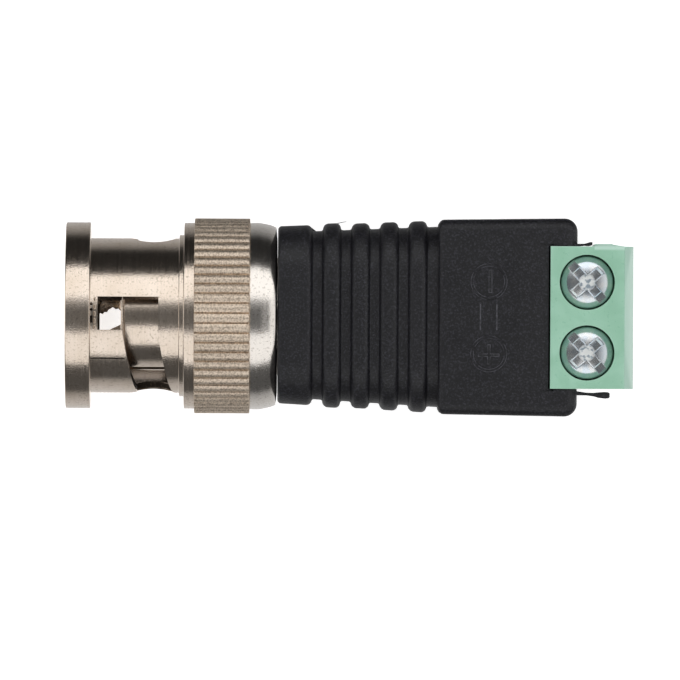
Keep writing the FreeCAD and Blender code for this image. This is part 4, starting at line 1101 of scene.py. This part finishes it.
fine = add_node(tree, "TexNoise", {"Scale": 1 / (0.12 * MM), "Detail": 2.0}, {"Vector": place})
rough = add_node(tree, "MapRange", {**SPAN, "To Min": 0.17, "To Max": 0.25}, {"Value": cloud})
rough = add_node(tree, "Mix", {3: 0.72}, {0: recess_floor_painted_highlight, 2: rough})
worn = add_node(tree, "Bump", {"Strength": 0.5, "Distance": 0.0018 * MM}, {"Height": fine})
join(shader, {"Base Color": colour, "Roughness": rough, "Normal": worn})

# %% [markdown]
# Tinned brass is stamped strip that was dipped or plated: grey, soft in gloss, with rolling marks
# that run along the strip. Solder is the same grey, but cast smooth in drops.

# %% Tinned brass, solder and spring steel
tin, tree, shader, place = start_material("tinned_brass_strip", "#C9C8C4", Metallic=1.0)
stretched = add_node(tree, "Mapping", {"Scale": (1.0, 8.0, 1.0)}, {0: place})
rolled = add_node(tree, "TexNoise", {"Scale": 1 / (0.5 * MM), "Detail": 3.0},
                  {"Vector": stretched})
rough = add_node(tree, "MapRange", {**SPAN, "To Min": 0.28, "To Max": 0.42}, {"Value": rolled})
marks = add_node(tree, "Bump", {"Strength": 0.6, "Distance": 0.003 * MM}, {"Height": rolled})
join(shader, {"Roughness": rough, "Normal": marks})

solder, tree, shader, place = start_material("soft_solder", "#BDBDBB", Metallic=1.0)
cooled = add_node(tree, "TexNoise", {"Scale": 1 / (0.3 * MM), "Detail": 2.0}, {"Vector": place})
rough = add_node(tree, "MapRange", {"To Min": 0.22, "To Max": 0.5}, {"Value": cooled})
join(shader, {"Roughness": rough})

steel, tree, shader, place = start_material("rolled_spring_steel", "#B9B6B0", Metallic=1.0)
rolled = add_node(tree, "TexNoise", {"Scale": 1 / (0.2 * MM), "Detail": 3.0},
                  {"Vector": add_node(tree, "Mapping", {"Scale": (1, 1, 6)}, {0: place})})
rough = add_node(tree, "MapRange", {"To Min": 0.2, "To Max": 0.36}, {"Value": rolled})
join(shader, {"Roughness": rough})

# %% [markdown]
# The pin is brass with a flash of gold. It was turned, so it has rings like the nut's, but finer
# and shallower, because a contact is burnished.

# %% Gold flash
gold, tree, shader, place = start_material("gold_flash_on_brass", "#E3BF72", Metallic=1.0)
along = add_node(tree, "SeparateXYZ", None, {0: place}).outputs["X"]
rings = add_node(tree, "TexNoise",
                 {"noise_dimensions": "1D", "Scale": 1 / (0.1 * MM), "Detail": 2.0}, {"W": along})
rough = add_node(tree, "MapRange", {**SPAN, "To Min": 0.13, "To Max": 0.22}, {"Value": rings})
burnished = add_node(tree, "Bump", {"Strength": 0.5, "Distance": 0.0012 * MM}, {"Height": rings})
join(shader, {"Roughness": rough, "Normal": burnished})

# %% [markdown]
# The insulator is turned from white acetal, waxy and a little translucent. The sealing ring is
# black silicone rubber, matte, with a pale bloom of dust in its pores.

# %% Acetal and rubber
white, tree, shader, place = start_material("turned_white_acetal", "#E9E8E2",
                                            Subsurface_Weight=0.2, Subsurface_Scale=0.4 * MM,
                                            Subsurface_Radius=(1.0, 0.95, 0.85))
wax = add_node(tree, "TexNoise", {"Scale": 1 / (0.4 * MM), "Detail": 2.0}, {"Vector": place})
colour = add_node(tree, "Mix", {"data_type": "RGBA", 6: linear("#E2E1DA"), 7: linear("#EFEEE9")},
                  {0: wax})
rough = add_node(tree, "MapRange", {"To Min": 0.38, "To Max": 0.55}, {"Value": wax})
join(shader, {"Base Color": colour, "Roughness": rough})

rubber, tree, shader, place = start_material("black_silicone_rubber", "#232323")
pores = add_node(tree, "TexNoise", {"Scale": 1 / (0.1 * MM), "Detail": 2.0}, {"Vector": place})
bloom = add_node(tree, "MapRange", {"From Min": 0.55, "From Max": 0.8}, {"Value": pores})
colour = add_node(tree, "Mix", {"data_type": "RGBA", 6: linear("#1F1F1F"), 7: linear("#45443F")},
                  {0: bloom})
rough = add_node(tree, "MapRange", {"To Min": 0.6, "To Max": 0.8}, {"Value": pores})
porous = add_node(tree, "Bump", {"Strength": 0.7, "Distance": 0.006 * MM}, {"Height": pores})
join(shader, {"Base Color": colour, "Roughness": rough, "Normal": porous})


# %% [markdown]
# The wires inside are PVC over tinned strands. Extruded PVC is smooth with faint drawn lines, so
# both colours share one recipe, called twice with its own two shades.

# %% Wire insulation
def wire_pvc(name, dark, light):
    """Extruded PVC insulation that varies between two shades."""
    made, tree, shader, place = start_material(name, dark)
    drawn = add_node(tree, "TexNoise", {"Scale": 1 / (0.35 * MM), "Detail": 2.0},
                     {"Vector": place})
    colour = add_node(tree, "Mix", {"data_type": "RGBA", 6: linear(dark), 7: linear(light)},
                      {0: drawn})
    rough = add_node(tree, "MapRange", {"To Min": 0.3, "To Max": 0.5}, {"Value": drawn})
    join(shader, {"Base Color": colour, "Roughness": rough})
    return made


red_pvc = wire_pvc("red_wire_pvc", "#A61F1C", "#B82C26")
black_pvc = wire_pvc("black_wire_pvc", "#1B1B1C", "#29292B")

# %% [markdown]
# Last, every piece gets its material, the body that it moves with, and the CAD nodes that it
# stands for. Details such as burrs and signs stand for none.

# %% Hand over
hand_over(nut, "coupling_nut", "nickel", nickel, "coupling_nut")
for piece in torn:
    hand_over(piece, "coupling_nut", "nickel", nickel)
hand_over(body, "root", "nickel", nickel, "plug_body")
hand_over(pin, "root", "pin_brass", gold, "centre_pin")
hand_over(plug_insulator, "root", "insulator_white", white, "insulator")
hand_over(seal, "root", "gasket_rubber", rubber, "gasket")
hand_over(washer, "retaining_washer", "nickel", nickel, "retaining_washer")
hand_over(bowed, "root", "spring_steel", steel, "spring_washer")
hand_over(boot, "root", "housing_black", black, "housing")
for piece in signs + flash:
    hand_over(piece, "root", "housing_black", black)
hand_over(block, "root", "block_green", green, "terminal_block")
hand_over(screw, "clamp_screw_signal", "zinc", zinc, "clamp_screw_signal")
hand_over(second_screw, "clamp_screw_ground", "zinc", zinc, "clamp_screw_ground")
for pole in POLES:
    hand_over(cages[pole], f"clamp_cage_{pole}", "nickel", nickel, f"clamp_cage_{pole}")
    hand_over(bars[pole], "root", "tinned_brass", tin, f"contact_bar_{pole}")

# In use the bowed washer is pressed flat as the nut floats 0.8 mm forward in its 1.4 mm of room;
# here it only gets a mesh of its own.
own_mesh(bowed)

# The CAD shapes of the hidden wires and the solder are right as they are.
for node, material in (
        ("conductor_signal", tin), ("conductor_ground", tin), ("insulation_signal", red_pvc),
        ("insulation_ground", black_pvc), ("solder_joints", solder)):
    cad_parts[node].material_slots[0].material = material
